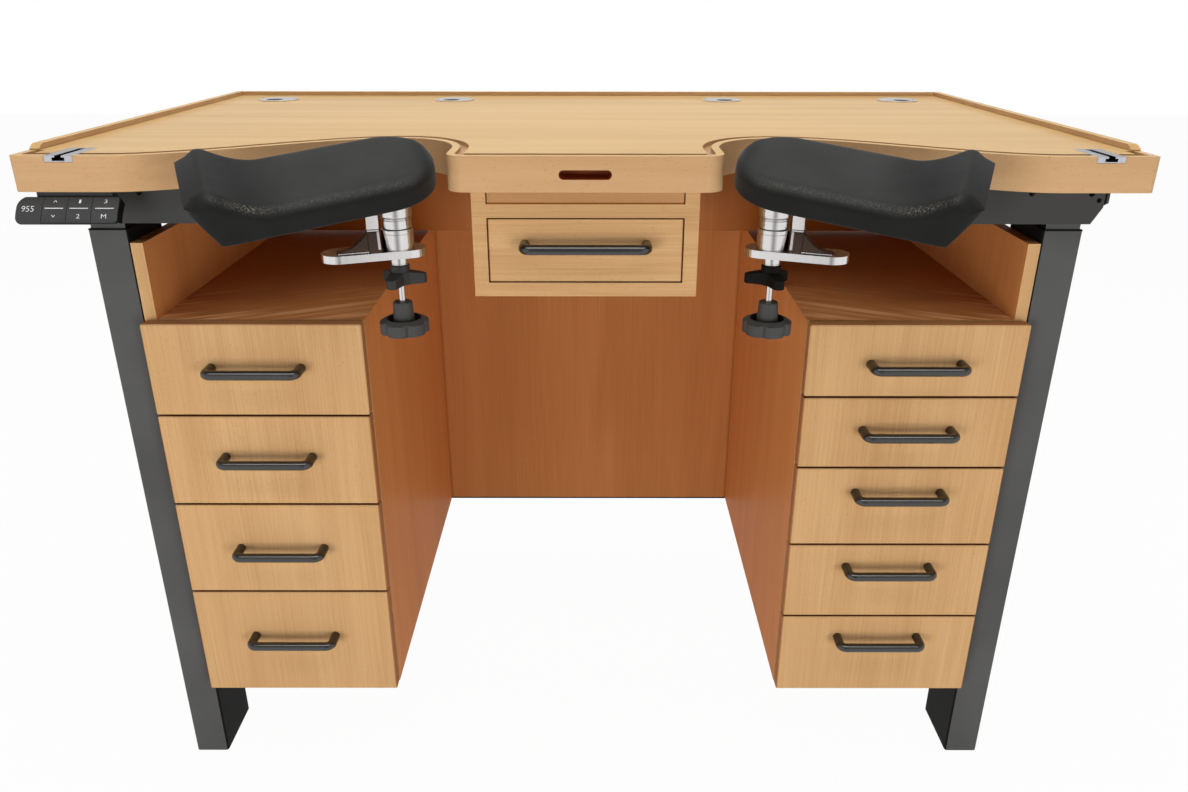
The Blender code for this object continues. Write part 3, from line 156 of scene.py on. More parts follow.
def shelf_light_streaks(paint, color, light):
    """Painted light on the shelf: long soft streaks of light that run outwards and forwards, clearest near
    its front, over fine grain lines on a colour of painted shade.
    """
    x = paint.maths("ABSOLUTE", paint.axis("Object", "X"))
    y = paint.maths("SUBTRACT", paint.axis("Object", "Y"), SHIFT.y)
    cosine, sine = math.cos(math.radians(25)), math.sin(math.radians(25))
    across = paint.maths("ADD", paint.times(y, cosine), paint.times(x, sine))
    along = paint.maths("SUBTRACT", paint.times(x, cosine), paint.times(y, sine))
    along = paint.times(along, 0.07)
    way = paint.node("ShaderNodeCombineXYZ", {0: along, 1: across}).outputs[0]
    # Streaks of painted light, kept to the front of the shelf.
    streaks = paint.spread(paint.noise(way, 58.0, 2.0, 0.45), 0.48, 0.61)
    lines = paint.spread(paint.noise(way, 420.0, 2.0, 0.5), 0.35, 0.65, 0.90, 1.08)
    near = paint.spread(y, 0.17, 0.02)
    grey = paint.node("ShaderNodeCombineXYZ", {0: lines, 1: lines, 2: lines}).outputs[0]
    toned = paint.mix(1.0, color, grey, "MULTIPLY")
    return paint.mix(paint.times(paint.times(streaks, near), 0.82), toned, light)


def wood(name, along, middle, contrast, fine, gloss=(0.14, 0.12), outside=(), pale=None, shelf=None,
         groove=None, sides=None, front=None, end_shade=None, shadow_line=None):
    """Lacquered beech: broad soft bands, fine lines and short dark flecks that run along one axis.
    Faces that look towards one of the outside directions take the pale colour instead of the middle one,
    and those that look left and right can have their own: lit and shaded copies of the wood, as painted
    light and shade. What lies behind a front's thickness is pale. Level faces can have the shelf's painted
    shade and painted light streaks, and painted shade in the groove below the top face. A panel can have
    painted shade towards its ends, or a painted shadow line below a given height."""
    paint = Paint(name, specular_ior_level=gloss[0], coat_weight=gloss[1], coat_roughness=0.08)

    def stretched(factor):
        return tuple(factor if axis == along else 1.0 for axis in range(3))

    def shade(color, amount):
        return tuple(c * (1 + amount * pull) for c, pull in zip(color, (0.7, 1.0, 1.3)))

    bands = paint.noise(paint.place(stretched(0.06), 9.0), 24.0, 3.0, 0.55, 0.5)
    lines = paint.noise(paint.place(stretched(0.012), 9.0), 430.0, 3.0, 0.6)
    flecks = paint.spread(paint.noise(paint.place(stretched(0.22), 9.0), 900.0, 1.0, 0.4), 0.68, 0.76)
    broad = paint.times(bands, 1 - fine)
    blend = paint.maths("ADD", broad, paint.times(lines, fine))

    def toned(color):
        stops = ((0.32, shade(color, -contrast)), (0.50, color), (0.68, shade(color, contrast)))
        tone = paint.ramp(blend, stops)
        return paint.mix(paint.times(flecks, 0.45), tone, shade(color, -0.55))

    color = toned(middle)
    # Painted light and shade: faces that look outwards take the pale colour, the others the middle one.
    if outside:
        normal = paint.node("ShaderNodeTexCoord").outputs["Normal"]
        facing = 0.0
        for direction in outside:
            towards = paint.vectors("DOT_PRODUCT", normal, direction)["Value"]
            facing = paint.maths("MAXIMUM", towards, facing)
        color = paint.mix(paint.maths("GREATER_THAN", facing, 0.5), color, toned(pale))
    # Painted shade on faces that look left and right.
    if sides:
        across = paint.maths("ABSOLUTE", paint.axis("Normal", "X"))
        color = paint.mix(paint.maths("GREATER_THAN", across, 0.5), color, toned(sides))
    if front:
        color = paint.mix(paint.maths("GREATER_THAN", paint.axis("Object", "Y"), front), color, toned(pale))
    level = paint.maths("GREATER_THAN", paint.axis("Normal", "Z"), 0.5)
    height = paint.axis("Object", "Z")
    # Level faces: the shelf's painted shade with painted light streaks.
    if shelf:
        color = paint.mix(level, color, shelf_light_streaks(paint, *shelf))
    # Painted shade on level faces in the groove, below the top face.
    if groove:
        below = paint.times(paint.maths("LESS_THAN", height, TOP - 0.0008), level)
        color = paint.mix(below, color, groove)
    # A painted shadow line below a given height.
    if shadow_line:
        color = paint.mix(paint.maths("LESS_THAN", height, shadow_line), color, shade(middle, -0.72))
    # Painted shade towards the panel's ends.
    if end_shade:
        away = paint.maths("ABSOLUTE", paint.axis("Object", "X"))
        near = paint.spread(away, end_shade[0], end_shade[1], 0.0, end_shade[2])
        color = paint.mix(near, color, shade(middle, -0.7))
    paint.link(color, "Base Color")
    paint.rough(lines, 0.38, 0.52)
    paint.bump(paint.maths("SUBTRACT", lines, flecks), 0.08, 0.0004)
    return paint.material


def coated_steel(name, color, inner=1.0):
    """Powder coat; the faces that look towards the middle of the bench can be darker, as painted shade."""
    paint = Paint(name, specular_ior_level=0.02)
    place = paint.place(spread=3.0)
    speckle = paint.noise(place, 900.0, 2.0)
    cloud = paint.noise(place, 6.0, 2.0)
    lighter = tuple(c * 1.22 for c in color)
    coat = paint.ramp(cloud, ((0.35, color), (0.65, lighter)))
    sign = paint.maths("SIGN", paint.axis("Object", "X"))
    inwards = paint.maths("LESS_THAN", paint.times(sign, paint.axis("Normal", "X")), -0.5)
    shaded = tuple(c * inner for c in color)
    paint.link(paint.mix(inwards, coat, shaded), "Base Color")
    paint.rough(speckle, 0.42, 0.55)
    paint.bump(speckle, 0.12, 0.0003)
    return paint.material


def metal(name, color, smooth, rough, stretch=(1.0, 1.0, 1.0), dark=0.86):
    paint = Paint(name, metallic=1.0)
    streaks = paint.noise(paint.place(stretch, 2.0), 300.0, 3.0)
    darker = tuple(c * dark for c in color)
    paint.link(paint.ramp(streaks, ((0.3, darker), (0.7, color))), "Base Color")
    paint.rough(streaks, smooth, rough)
    return paint.material


def plastic(name, color, smooth, rough, gloss=0.28):
    paint = Paint(name, specular_ior_level=gloss)
    grain = paint.noise(paint.place(spread=2.0), 1400.0)
    lighter = tuple(c * 1.3 for c in color)
    paint.link(paint.ramp(grain, ((0.3, color), (0.7, lighter))), "Base Color")
    paint.rough(grain, smooth, rough)
    paint.bump(grain, 0.10, 0.0003)
    return paint.material


def grained_pad(name):
    """Black moulded skin with a leather grain, lighter along its front upper edge with wear and a painted
    highlight, and lighter on its top face as painted light.
    """
    paint = Paint(name, specular_ior_level=0.10, sheen_weight=0.10, sheen_roughness=0.42)
    place = paint.place(spread=2.0)
    cells = paint.node("ShaderNodeTexVoronoi", {"Vector": place, "Scale": 620.0, "Randomness": 1.0},
                       feature="SMOOTH_F1").outputs["Distance"]
    wrinkle = paint.noise(place, 260.0, 4.0, 0.6, 0.4)
    cloud = paint.noise(place, 18.0, 3.0)
    rub = paint.node("ShaderNodeAttribute", attribute_name="rub").outputs["Fac"]
    rest = paint.node("ShaderNodeAttribute", attribute_name="rest").outputs["Fac"]
    speckle = paint.spread(paint.noise(place, 520.0, 3.0, 0.7), 0.48, 0.66)
    base = paint.ramp(cloud, ((0.35, (0.0082, 0.0085, 0.0080)), (0.65, (0.0110, 0.0114, 0.0107))))
    lit_skin = paint.ramp(cloud, ((0.35, (0.031, 0.0313, 0.030)), (0.65, (0.0375, 0.0378, 0.0365))))
    # Painted light: the skin is lighter where its top face is lit.
    skin = paint.mix(rest, base, lit_skin)
    # Wear flecks and a painted highlight along the front upper edge.
    paint.link(paint.mix(paint.times(rub, speckle), skin, (0.19, 0.18, 0.145)), "Base Color")
    paint.link(paint.spread(cells, 0.0, 0.8, 0.46, 0.60), "Roughness")
    height = paint.maths("ADD", cells, paint.times(wrinkle, 0.6))
    paint.bump(height, 0.30, 0.0006)
    return paint.material


def rail_finish(name, centre):
    """Brushed aluminium whose slot is painted black inside as shade."""
    paint = Paint(name, metallic=1.0)
    streaks = paint.noise(paint.place((1.0, 0.02, 1.0), 2.0), 900.0, 3.0)
    away = paint.maths("SUBTRACT", paint.maths("ABSOLUTE", paint.axis("Object", "X")), centre)
    # Painted shade inside the slot.
    near = paint.maths("LESS_THAN", paint.maths("ABSOLUTE", away), 0.0078)
    below = paint.maths("LESS_THAN", paint.axis("Object", "Z"), TOP - 0.0006)
    front = paint.maths("GREATER_THAN", paint.axis("Normal", "Y"), -0.5)
    inside = paint.times(paint.times(near, below), front)
    clean = paint.ramp(streaks, ((0.3, (0.50, 0.50, 0.54)), (0.7, (0.64, 0.64, 0.68))))
    paint.link(paint.mix(inside, clean, (0.006, 0.006, 0.006)), "Base Color")
    paint.rough(streaks, 0.30, 0.45)
    return paint.material


def print_white(name):
    paint = Paint(name)
    wear = paint.noise(paint.place(), 500.0)
    paint.link(paint.ramp(wear, ((0.3, (0.72, 0.73, 0.73)), (0.6, (0.86, 0.87, 0.87)))), "Base Color")
    paint.rough(wear, 0.5, 0.6)
    return paint.material


# The pale colour is the wood's own; the red one and the two browns are painted shade.
PALE, SHADE_RED = (0.550, 0.325, 0.150), (0.655, 0.266, 0.085)
EDGE_SHADE, SIDE_SHADE = (0.220, 0.080, 0.030), (0.400, 0.170, 0.066)
# The shelf's painted shade and its painted light.
SHELF_SHADE_AND_LIGHT = ((0.520, 0.205, 0.070), (0.80, 0.46, 0.21))
DULL, MATT = (0.010, 0.006), (0.004, 0.0)
UP, AHEAD, BEHIND, LEFT, RIGHT = (0, 0, 1), (0, -1, 0), (0, 1, 0), (-1, 0, 0), (1, 0, 0)
KNEE_SIDE = -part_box("pedestal_case_left")[1].x
# Painted shade: in the knee panel's corners, and towards the upper panel's ends in the compartments.
KNEE_CORNER_SHADE, UPPER_END_SHADE = (KNEE_SIDE - 0.007, KNEE_SIDE, 0.6), (KNEE_SIDE - 0.10, KNEE_SIDE + 0.03, 0.95)
FRONT_THICK = 0.0192
PEDESTAL_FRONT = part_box("drawer_left_1")[0].y + FRONT_THICK
CENTRE_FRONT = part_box("centre_drawer")[0].y + FRONT_THICK
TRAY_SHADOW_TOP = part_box("centre_tray")[0].z + 0.0018
RAIL_X = 0.6255
# Its up-facing faces take a paler, yellower copy of the wood: painted light.
WOOD_TOP = wood("beech_top", 0, (0.515, 0.310, 0.151), 0.11, 0.25, (0.14, 0.10), (UP,),
                (0.655, 0.414, 0.165), groove=(0.46, 0.26, 0.115))
# The tray is darker all over, as painted shade under the nose, with a painted shadow line at its bottom edge.
WOOD_TRAY_SHADED = wood("beech_tray", 0, (0.440, 0.232, 0.101), 0.12, 0.35, shadow_line=TRAY_SHADOW_TOP)
# The edge faces of the drawer fronts and the centre case's up-facing faces take painted shade.
WOOD_FRONT = wood("beech_upright", 2, EDGE_SHADE, 0.16, 0.50, MATT, (AHEAD, BEHIND), PALE,
                  sides=SIDE_SHADE, front=PEDESTAL_FRONT)
WOOD_FIRST = wood("beech_first_front", 2, SIDE_SHADE, 0.16, 0.50, MATT, (AHEAD, BEHIND), PALE,
                  front=PEDESTAL_FRONT)
WOOD_CENTRE = wood("beech_centre_drawer", 0, EDGE_SHADE, 0.17, 0.48, MATT, (AHEAD, BEHIND), PALE,
                   sides=SIDE_SHADE, front=CENTRE_FRONT)
WOOD_CASE = wood("beech_centre_case", 0, EDGE_SHADE, 0.17, 0.48, MATT,
                 (AHEAD, BEHIND, RIGHT, LEFT, (0, 0, -1)), PALE)
# The cases, the knee panel and the upper panel take a redder, darker copy of the wood on faces that look into
# the bench: painted shade.
WOOD_LEFT = wood("beech_case_left", 2, SHADE_RED, 0.12, 0.45, DULL, (LEFT, AHEAD, BEHIND), PALE, SHELF_SHADE_AND_LIGHT)
WOOD_RIGHT = wood("beech_case_right", 2, SHADE_RED, 0.12, 0.45, DULL, (RIGHT, AHEAD, BEHIND), PALE, SHELF_SHADE_AND_LIGHT)
WOOD_KNEE = wood("beech_knee_panel", 2, (0.565, 0.232, 0.079), 0.14, 0.48, DULL, (BEHIND,), PALE,
                 end_shade=KNEE_CORNER_SHADE)
# Painted shade inside the bench-pin slot.
WOOD_SLOT_SHADE = wood("beech_slot", 0, (0.400, 0.115, 0.045), 0.12, 0.35, DULL)
WOOD_UPPER = wood("beech_upper_panel", 2, (0.520, 0.205, 0.072), 0.12, 0.40, DULL, (BEHIND,), PALE,
                  end_shade=UPPER_END_SHADE)
# The legs' faces towards the middle of the bench take painted shade.
STEEL = coated_steel("powder_coat", (0.079, 0.079, 0.076), 0.12)
# The frame's coat is a darker copy of the legs' coat: painted shade under the top.
FRAME_STEEL_SHADED = coated_steel("powder_coat_frame", (0.052, 0.052, 0.050))
GRAPHITE = metal("graphite", (0.084, 0.082, 0.080), 0.235, 0.255, dark=0.97)
POLISHED = metal("polished_steel", (0.75, 0.73, 0.72), 0.17, 0.20, (1.0, 1.0, 0.05), dark=0.96)
SHADED = metal("shaded_steel", (0.105, 0.070, 0.055), 0.25, 0.35, (1.0, 1.0, 0.05))
SILVER = metal("satin_silver", (0.82, 0.80, 0.79), 0.28, 0.40)
ALUMINIUM = rail_finish("anodised_rail", RAIL_X)
PAD = grained_pad("grained_pad")
BLACK = plastic("black_plastic", (0.022, 0.022, 0.022), 0.38, 0.52)
KNOB = plastic("knob_grey", (0.044, 0.044, 0.042), 0.40, 0.52)
JET = plastic("jet_plastic", (0.004, 0.0037, 0.0036), 0.45, 0.60, gloss=0.10)
GREY = plastic("handset_grey", (0.0315, 0.0322, 0.0318), 0.42, 0.54)
WHITE = print_white("white_print")

# Materials of the CAD nodes that stay visible; the pieces made below stand for the others.
NODE_MATERIALS = {
    "leg_": STEEL, "side_frame": FRAME_STEEL_SHADED, "cross_rail": FRAME_STEEL_SHADED, "control_box": GREY,
    "centre_tray": WOOD_TRAY_SHADED, "centre_drawer": WOOD_CENTRE, "centre_case": WOOD_CASE,
    "drawer_left_1": WOOD_FIRST, "drawer_right_1": WOOD_FIRST, "drawer": WOOD_FRONT,
    "pedestal_case_left": WOOD_LEFT, "pedestal_case_right": WOOD_RIGHT,
    "knee_back_panel": WOOD_KNEE, "upper_back_panel": WOOD_UPPER,
}
for name, obj in nodes.items():
    for start, material in NODE_MATERIALS.items():
        if name.startswith(start):
            obj.data.materials.clear()
            obj.data.materials.append(material)
            break


# Tools for shaping

def add_object(name, data):
    obj = bpy.data.objects.new(name, data)
    bpy.context.scene.collection.objects.link(obj)
    return obj


def mesh_from(name, bm):
    mesh = bpy.data.meshes.new(name)
    bmesh.ops.recalc_face_normals(bm, faces=bm.faces)
    bm.to_mesh(mesh)
    bm.free()
    return add_object(name, mesh)


def bake(obj):
    """Replace an object's curve or modifiers by the mesh they make."""
    bpy.context.view_layer.update()
    depsgraph = bpy.context.evaluated_depsgraph_get()
    mesh = bpy.data.meshes.new_from_object(obj.evaluated_get(depsgraph))
    bm = bmesh.new()
    bm.from_mesh(mesh)
    bmesh.ops.remove_doubles(bm, verts=bm.verts, dist=0.00001)
    bmesh.ops.recalc_face_normals(bm, faces=bm.faces)
    bm.to_mesh(mesh)
    bm.free()
    name = obj.name
    solid = add_object(name + "_solid", mesh)
    solid.matrix_world = obj.matrix_world.copy()
    bpy.data.objects.remove(obj)
    solid.name = name
    return solid


def move(obj, matrix):
    obj.data.transform(matrix)
    if matrix.determinant() < 0:
        obj.data.flip_normals()
    obj.data.update()
    return obj


def box(name, low, high, rounding=0.0, segments=3):
    bm = bmesh.new()
    bmesh.ops.create_cube(bm, size=1.0)
    bmesh.ops.scale(bm, vec=Vector(high) - Vector(low), verts=bm.verts)
    bmesh.ops.translate(bm, vec=(Vector(high) + Vector(low)) / 2, verts=bm.verts)
    if rounding:
        bmesh.ops.bevel(bm, geom=bm.edges[:], offset=rounding, segments=segments, profile=0.5,
                        affect="EDGES")
    return mesh_from(name, bm)


def slab(name, outlines, bottom, top):
    """Flat outlines in X and Y given a thickness in Z; an outline inside another is a hole."""
    curve = bpy.data.curves.new(name, "CURVE")
    curve.dimensions = "2D"
    curve.fill_mode = "BOTH"
    curve.extrude = (top - bottom) / 2
    for outline in outlines:
        spline = curve.splines.new("POLY")
        spline.points.add(len(outline) - 1)
        for point, (x, y) in zip(spline.points, outline):
            point.co = (x, y, 0.0, 1.0)
        spline.use_cyclic_u = True
    return move(bake(add_object(name, curve)), Matrix.Translation((0.0, 0.0, (top + bottom) / 2)))


def turned(name, profile, segments=64, base=0.0):
    """A profile of (radius, height above the base) points from top to bottom, turned about Z."""
    mesh = bpy.data.meshes.new(name)
    points = [(radius, 0.0, base + height) for radius, height in profile]
    mesh.from_pydata(points, [(i, i + 1) for i in range(len(points) - 1)], [])
    obj = add_object(name, mesh)
    screw = obj.modifiers.new("turn", "SCREW")
    screw.steps = segments
    screw.render_steps = segments
    screw.use_merge_vertices = True
    screw.merge_threshold = 0.00001
    return bake(obj)


def soften(obj, width, segments=3, angle=40):
    modifier = obj.modifiers.new("soften", "BEVEL")
    modifier.width = width
    modifier.segments = segments
    modifier.limit_method = "ANGLE"
    modifier.angle_limit = math.radians(angle)
    return bake(obj)


def cut(obj, *tools, operation="DIFFERENCE"):
    for tool in tools:
        modifier = obj.modifiers.new("cut", "BOOLEAN")
        modifier.operation = operation
        modifier.solver = "EXACT"
        modifier.object = tool
    obj = bake(obj)
    for tool in tools:
        bpy.data.objects.remove(tool)
    return obj


def gather(name, *pieces):
    """Several shapes as one object."""
    bm = bmesh.new()
    for piece in pieces:
        bm.from_mesh(piece.data)
        bpy.data.objects.remove(piece)
    mesh = bpy.data.meshes.new(name)
    bm.to_mesh(mesh)
    bm.free()
    return add_object(name, mesh)


def tube(name, points, radius, resolution=6):
    curve = bpy.data.curves.new(name, "CURVE")
    curve.dimensions = "3D"
    curve.bevel_depth = radius
    curve.bevel_resolution = resolution
    curve.use_fill_caps = True
    spline = curve.splines.new("POLY")
    spline.points.add(len(points) - 1)
    for point, place in zip(spline.points, points):
        point.co = (*place, 1.0)
    return bake(add_object(name, curve))


def arc(centre, radius, start, end, steps):
    points = []
    for i in range(steps + 1):
        angle = math.radians(start + (end - start) * i / steps)
        points.append((centre[0] + radius * math.cos(angle), centre[1] + radius * math.sin(angle)))
    return points


def stadium(left, right, radius, steps):
    """A round-ended outline about two centres on the X axis."""
    return arc((right, 0.0), radius, -90, 90, steps) + arc((left, 0.0), radius, 90, 270, steps)


def mirror(points):
    return [(-x, y) for x, y in reversed(points)]


def steps(start, end, count):
    return [start + (end - start) * i / count for i in range(count)]


def rectangle(low, high, grow):
    """A flat outline round two corners, grown on every side."""
    left, right, front, back = low.x - grow, high.x + grow, low.y - grow, high.y + grow
    return [(left, front), (right, front), (right, back), (left, back)]


def lengthways(obj):
    """Turns a slab drawn in Y and Z so that its thickness runs along X."""
    return move(obj, Matrix(((0, 0, 1, 0), (1, 0, 0, 0), (0, 1, 0, 0), (0, 0, 0, 1))))


def upright_slab(obj, side=1):
    """Stands a slab drawn in X and Z up, so that its thickness runs along Y."""
    return move(obj, Matrix(((side, 0, 0, 0), (0, 0, 1, 0), (0, 1, 0, 0), (0, 0, 0, 1))))


def smooth(obj, angle=35):
    obj.data.shade_smooth()
    obj.data.set_sharp_from_angle(angle=math.radians(angle))
    modifier = obj.modifiers.new("even_normals", "WEIGHTED_NORMAL")
    modifier.keep_sharp = True
    return obj


def dress(obj, material, body, slot, *replaced, shift=True):
    """Finish a new piece: material, place, the body it rides on and the nodes it stands for."""
    obj.data.materials.clear()
    obj.data.materials.append(material)
    if shift:
        obj.location = SHIFT
        bpy.context.view_layer.update()
    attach(obj, body)
    if replaced:
        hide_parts(*replaced)
    return obj


# Bench top, in the same sizes as the CAD top

HALF, FRONT, BACK = 0.685, -0.047, 0.735
RECESS_START, RECESS_X, RECESS_DEPTH, RECESS_CURVE = 0.575, 0.245, 0.159, 0.092
NOSE, NOSE_R, CORNER_R = 0.168, 0.024, 0.006
GROOVE_INSET, GROOVE_WIDTH, GROOVE_DEPTH = 0.0155, 0.011, 0.005
RIM_START = 0.047
SLOT_END, SLOT_OPEN, SLOT_HALF, SLOT_R = 0.007, 0.051, 0.02625, 0.00575
RING_XS, RING_FROM_BACK, RING_BORE = (0.574, 0.248), 0.1, 0.0303
RIM_WIDTH, RIM_HEIGHT, CLEAR = 0.012, 0.007, 0.004
SLOT_PLACE = Matrix.Translation((0.0, 0.0, 0.9328)) @ Matrix.Rotation(math.pi / 2, 4, "X")


def front_half_edge():
    points = []
    for i in range(49):
        t = i / 48
        points.append((RECESS_START + (RECESS_X - RECESS_START) * t,
                       FRONT + RECESS_DEPTH * (3 * t * t - 2 * t * t * t)))
    for i in range(1, 25):
        angle = math.pi / 2 * i / 24
        points.append((RECESS_X - (RECESS_X - NOSE) * math.sin(angle),
                       FRONT + RECESS_DEPTH - RECESS_CURVE * (1 - math.cos(angle))))
    return points + arc((NOSE - NOSE_R, FRONT + NOSE_R), NOSE_R, 0, -90, 12)


def shifted(points, distance):
    moved = []
    for i, (x, y) in enumerate(points):
        before, after = points[max(i - 1, 0)], points[min(i + 1, len(points) - 1)]
        along = Vector((after[0] - before[0], after[1] - before[1])).normalized()
        if i in (0, len(points) - 1):
            along = Vector((-1.0, 0.0))
        moved.append((x + along.y * distance, y - along.x * distance))
    return moved


def groove_outline():
    sides = []
    for offset in (-GROOVE_WIDTH / 2, GROOVE_WIDTH / 2):
        inset = GROOVE_INSET + offset
        half = [(HALF - inset, FRONT + RIM_START - 0.001)]
        half.append((HALF - inset, FRONT + inset))
        half += shifted(front_half_edge(), inset)
        sides.append(half + mirror(half))
    return sides[0] + list(reversed(sides[1]))


def pin_slot(radius):
    return stadium(-SLOT_HALF, SLOT_HALF, radius, 12)


def make_slot_shade():
    """A dark lining inside the bench-pin slot: painted shade."""
    outer, inner = pin_slot(SLOT_R - 0.00005), pin_slot(SLOT_R - 0.0002)
    wall = slab("wall", [outer, inner], SLOT_END + 0.0004, -FRONT - 0.0010)
    end = slab("end", [outer], SLOT_END + 0.0002, SLOT_END + 0.0006)
    inside = move(gather("pin_slot_wall", wall, end), SLOT_PLACE)
    dress(smooth(inside), WOOD_SLOT_SHADE, "lift", "beech")


def make_top():
    half = arc((HALF - CORNER_R, BACK - CORNER_R), CORNER_R, 90, 0, 6)
    half += arc((HALF - CORNER_R, FRONT + CORNER_R), CORNER_R, 0, -90, 6) + front_half_edge()
    top = soften(slab("top_board", [half + mirror(half)], UNDERSIDE, TOP), 0.004, 4, 60)
    tools = [slab("groove_tool", [groove_outline()], TOP - GROOVE_DEPTH, TOP + CLEAR)]
    tools.append(move(slab("slot_tool", [pin_slot(SLOT_R)], SLOT_END, SLOT_OPEN), SLOT_PLACE))
    for side in (-1, 1):
        x = side * RAIL_X
        near, far = (x - 0.0173, FRONT - CLEAR, TOP - 0.0078), (x + 0.0173, 0.0173, TOP + CLEAR)
        tools.append(box("rail_tool", near, far))
        for ring_x in RING_XS:
            circle = arc((side * ring_x, BACK - RING_FROM_BACK), RING_BORE, 0, 354, 59)
            tools.append(slab("ring_tool", [circle], UNDERSIDE - CLEAR, TOP + CLEAR))
    dress(smooth(cut(top, *tools)), WOOD_TOP, "lift", "beech", "bench_top")


def make_rim():
    outer, back = HALF - 0.0005, BACK - 0.0005
    start = FRONT + RIM_START
    outside = [(outer, start)] + arc((outer - CORNER_R, back - CORNER_R), CORNER_R, 0, 90, 6)
    side, far = outer - RIM_WIDTH, back - RIM_WIDTH
    inside = [(-side, start), (-side, far), (side, far), (side, start)]
    rim = slab("edge_strip", [outside + mirror(outside) + inside], TOP + 0.0003, TOP + RIM_HEIGHT)
    rim = soften(rim, 0.0024, 4, 60)
    ramp = ((-0.004, 0.0013), (0.0, 0.0013), (0.005, 0.0047), (0.0095, 0.0065),
            (0.014, 0.0075), (0.014, 0.011), (-0.004, 0.011))
    outline = [(start + along, TOP + up) for along, up in ramp]
    tool = slab("ramp_tool", [outline], -HALF - CLEAR, HALF + CLEAR)
    dress(smooth(cut(rim, lengthways(tool))), WOOD_TOP, "lift", "beech", "top_rim")


make_top()
make_slot_shade()
make_rim()


# Cable rings with their two screws

RING_R, RING_TOP, RING_EYE, SCREW_OUT = 0.036, 0.0018, 0.015, 0.0305


def screw_head(name, radius, height):
    """A small pan head with a cross recess."""
    profile = [(0.0, height), (radius * 0.6, height * 0.92), (radius * 0.9, height * 0.55), (radius, 0.0),
               (0.0, 0.0)]
    head = turned(name, profile, 24)
    arm, half, floor, over = radius * 0.55, radius * 0.14, height * 0.45, height * 2
    long = box("cross_tool", (-arm, -half, floor), (arm, half, over))
    wide = box("cross_tool", (-half, -arm, floor), (half, arm, over))
    return cut(head, long, wide)


def make_rings():
    for side, word in SIDES:
        for spot in ("outer", "inner"):
            node = f"cable_ring_{word}_{spot}"
            low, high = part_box(node)
            x, y = (low.x + high.x) / 2, (low.y + high.y) / 2
            place = Matrix.Translation((x, y, TOP))
            eye = (side * 0.004, -0.012)
            hole, wall = arc(eye, RING_EYE, 0, 352, 44), arc(eye, RING_EYE + 0.0018, 0, 352, 44)
            outlines = [arc((0.0, 0.0), RING_R, 0, 355, 71), hole]
            flange = soften(slab(f"ring_{word}_{spot}", outlines, 0.0003, RING_TOP), 0.0006, 3, 50)
            dress(smooth(move(flange, place)), SILVER, "lift", "silver_ring", node, shift=False)
            sleeve = slab(f"ring_sleeve_{word}_{spot}", [wall, hole], -0.020, 0.0005)
            dress(smooth(move(sleeve, place)), JET, "lift", "black_plastic", shift=False)
            for end in (-1, 1):
                head = screw_head(f"ring_screw_{word}_{spot}_{end + 1}", 0.0024, 0.0009)
                move(head, Matrix.Translation((x + end * SCREW_OUT, y, TOP + RING_TOP)))
                dress(smooth(head), POLISHED, "lift", "silver_ring", shift=False)


make_rings()


# Bow handles

HANDLE_BEND = 0.0085
MEMBERS = frame["record"]["behaviour"]["bodies"]
BODIES = {node: body for body, members in MEMBERS.items() for node in members}


def make_handles():
    for node in [name for name in nodes if "handle" in name]:
        low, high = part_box(node)
        radius = (high.z - low.z) / 2
        half = (high.x - low.x) / 2 - radius
        x, z = (low.x + high.x) / 2, (low.z + high.z) / 2
        centre = (half - HANDLE_BEND, low.y + radius + HANDLE_BEND)
        line = [(half, high.y)] + arc(centre, HANDLE_BEND, 0, -90, 12)
        line += mirror(line)
        bar = tube(f"bow_{node}", [(x + px, py, z) for px, py in line], radius)
        dress(smooth(bar, 50), GRAPHITE, BODIES[node], "graphite_handle", node, shift=False)


make_handles()


# T-slot rails and a thin dark strip under the knee panel

def make_rails():
    for side, word in SIDES:
        x, low, end = side * RAIL_X, TOP - 0.0075, FRONT + 0.064
        start, stop = FRONT - 0.01, end - 0.004
        rail = box(f"rail_{word}", (x - 0.017, FRONT, low), (x + 0.017, end, TOP), 0.0004, 2)
        slot = box("slot_tool", (x - 0.004, start, low + 0.0023), (x + 0.004, stop, TOP + 0.01))
        tee = box("tee_tool", (x - 0.0075, start, low + 0.0013), (x + 0.0075, stop, TOP - 0.0022))
        dress(smooth(cut(rail, slot, tee)), ALUMINIUM, "lift", "aluminium_rail", f"t_rail_{word}")


def make_knee_strip():
    low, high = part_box("knee_back_panel")
    strip = box("knee_edging", (low.x + 0.001, low.y - 0.0012, low.z + 0.0002),
                (high.x - 0.001, low.y + 0.004, low.z + 0.0026), 0.0004, 2)
    dress(smooth(strip), JET, "base", "black_plastic", shift=False)


def make_tube_rings():
    """The black guide ring on top of each leg tube, round its column."""
    for node in [name for name in nodes if name.startswith("leg_tube")]:
        low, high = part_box(node)
        hole = rectangle(*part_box(node.replace("tube", "column")), 0.0004)
        outlines = [rectangle(low, high, -0.0005), hole]
        ring = slab(node.replace("leg_tube", "guide"), outlines, high.z, high.z + 0.0018)
        ring = soften(ring, 0.0004, 2, 40)
        dress(smooth(ring), JET, BODIES[node], "black_plastic", shift=False)


make_rails()
make_knee_strip()
make_tube_rings()


# Handset: a curved face with three rocker keys, in the CAD's sizes

FACE_R, FACE_START, FACE_END = 0.062, 22, 54
FACE_FRONT, FACE_LOW = -0.066, 0.8789
HANDSET_LEFT, HANDSET_RIGHT = -0.683, -0.561
SEAMS = (-0.6524, -0.6227, -0.5930)
HANG = 0.9117


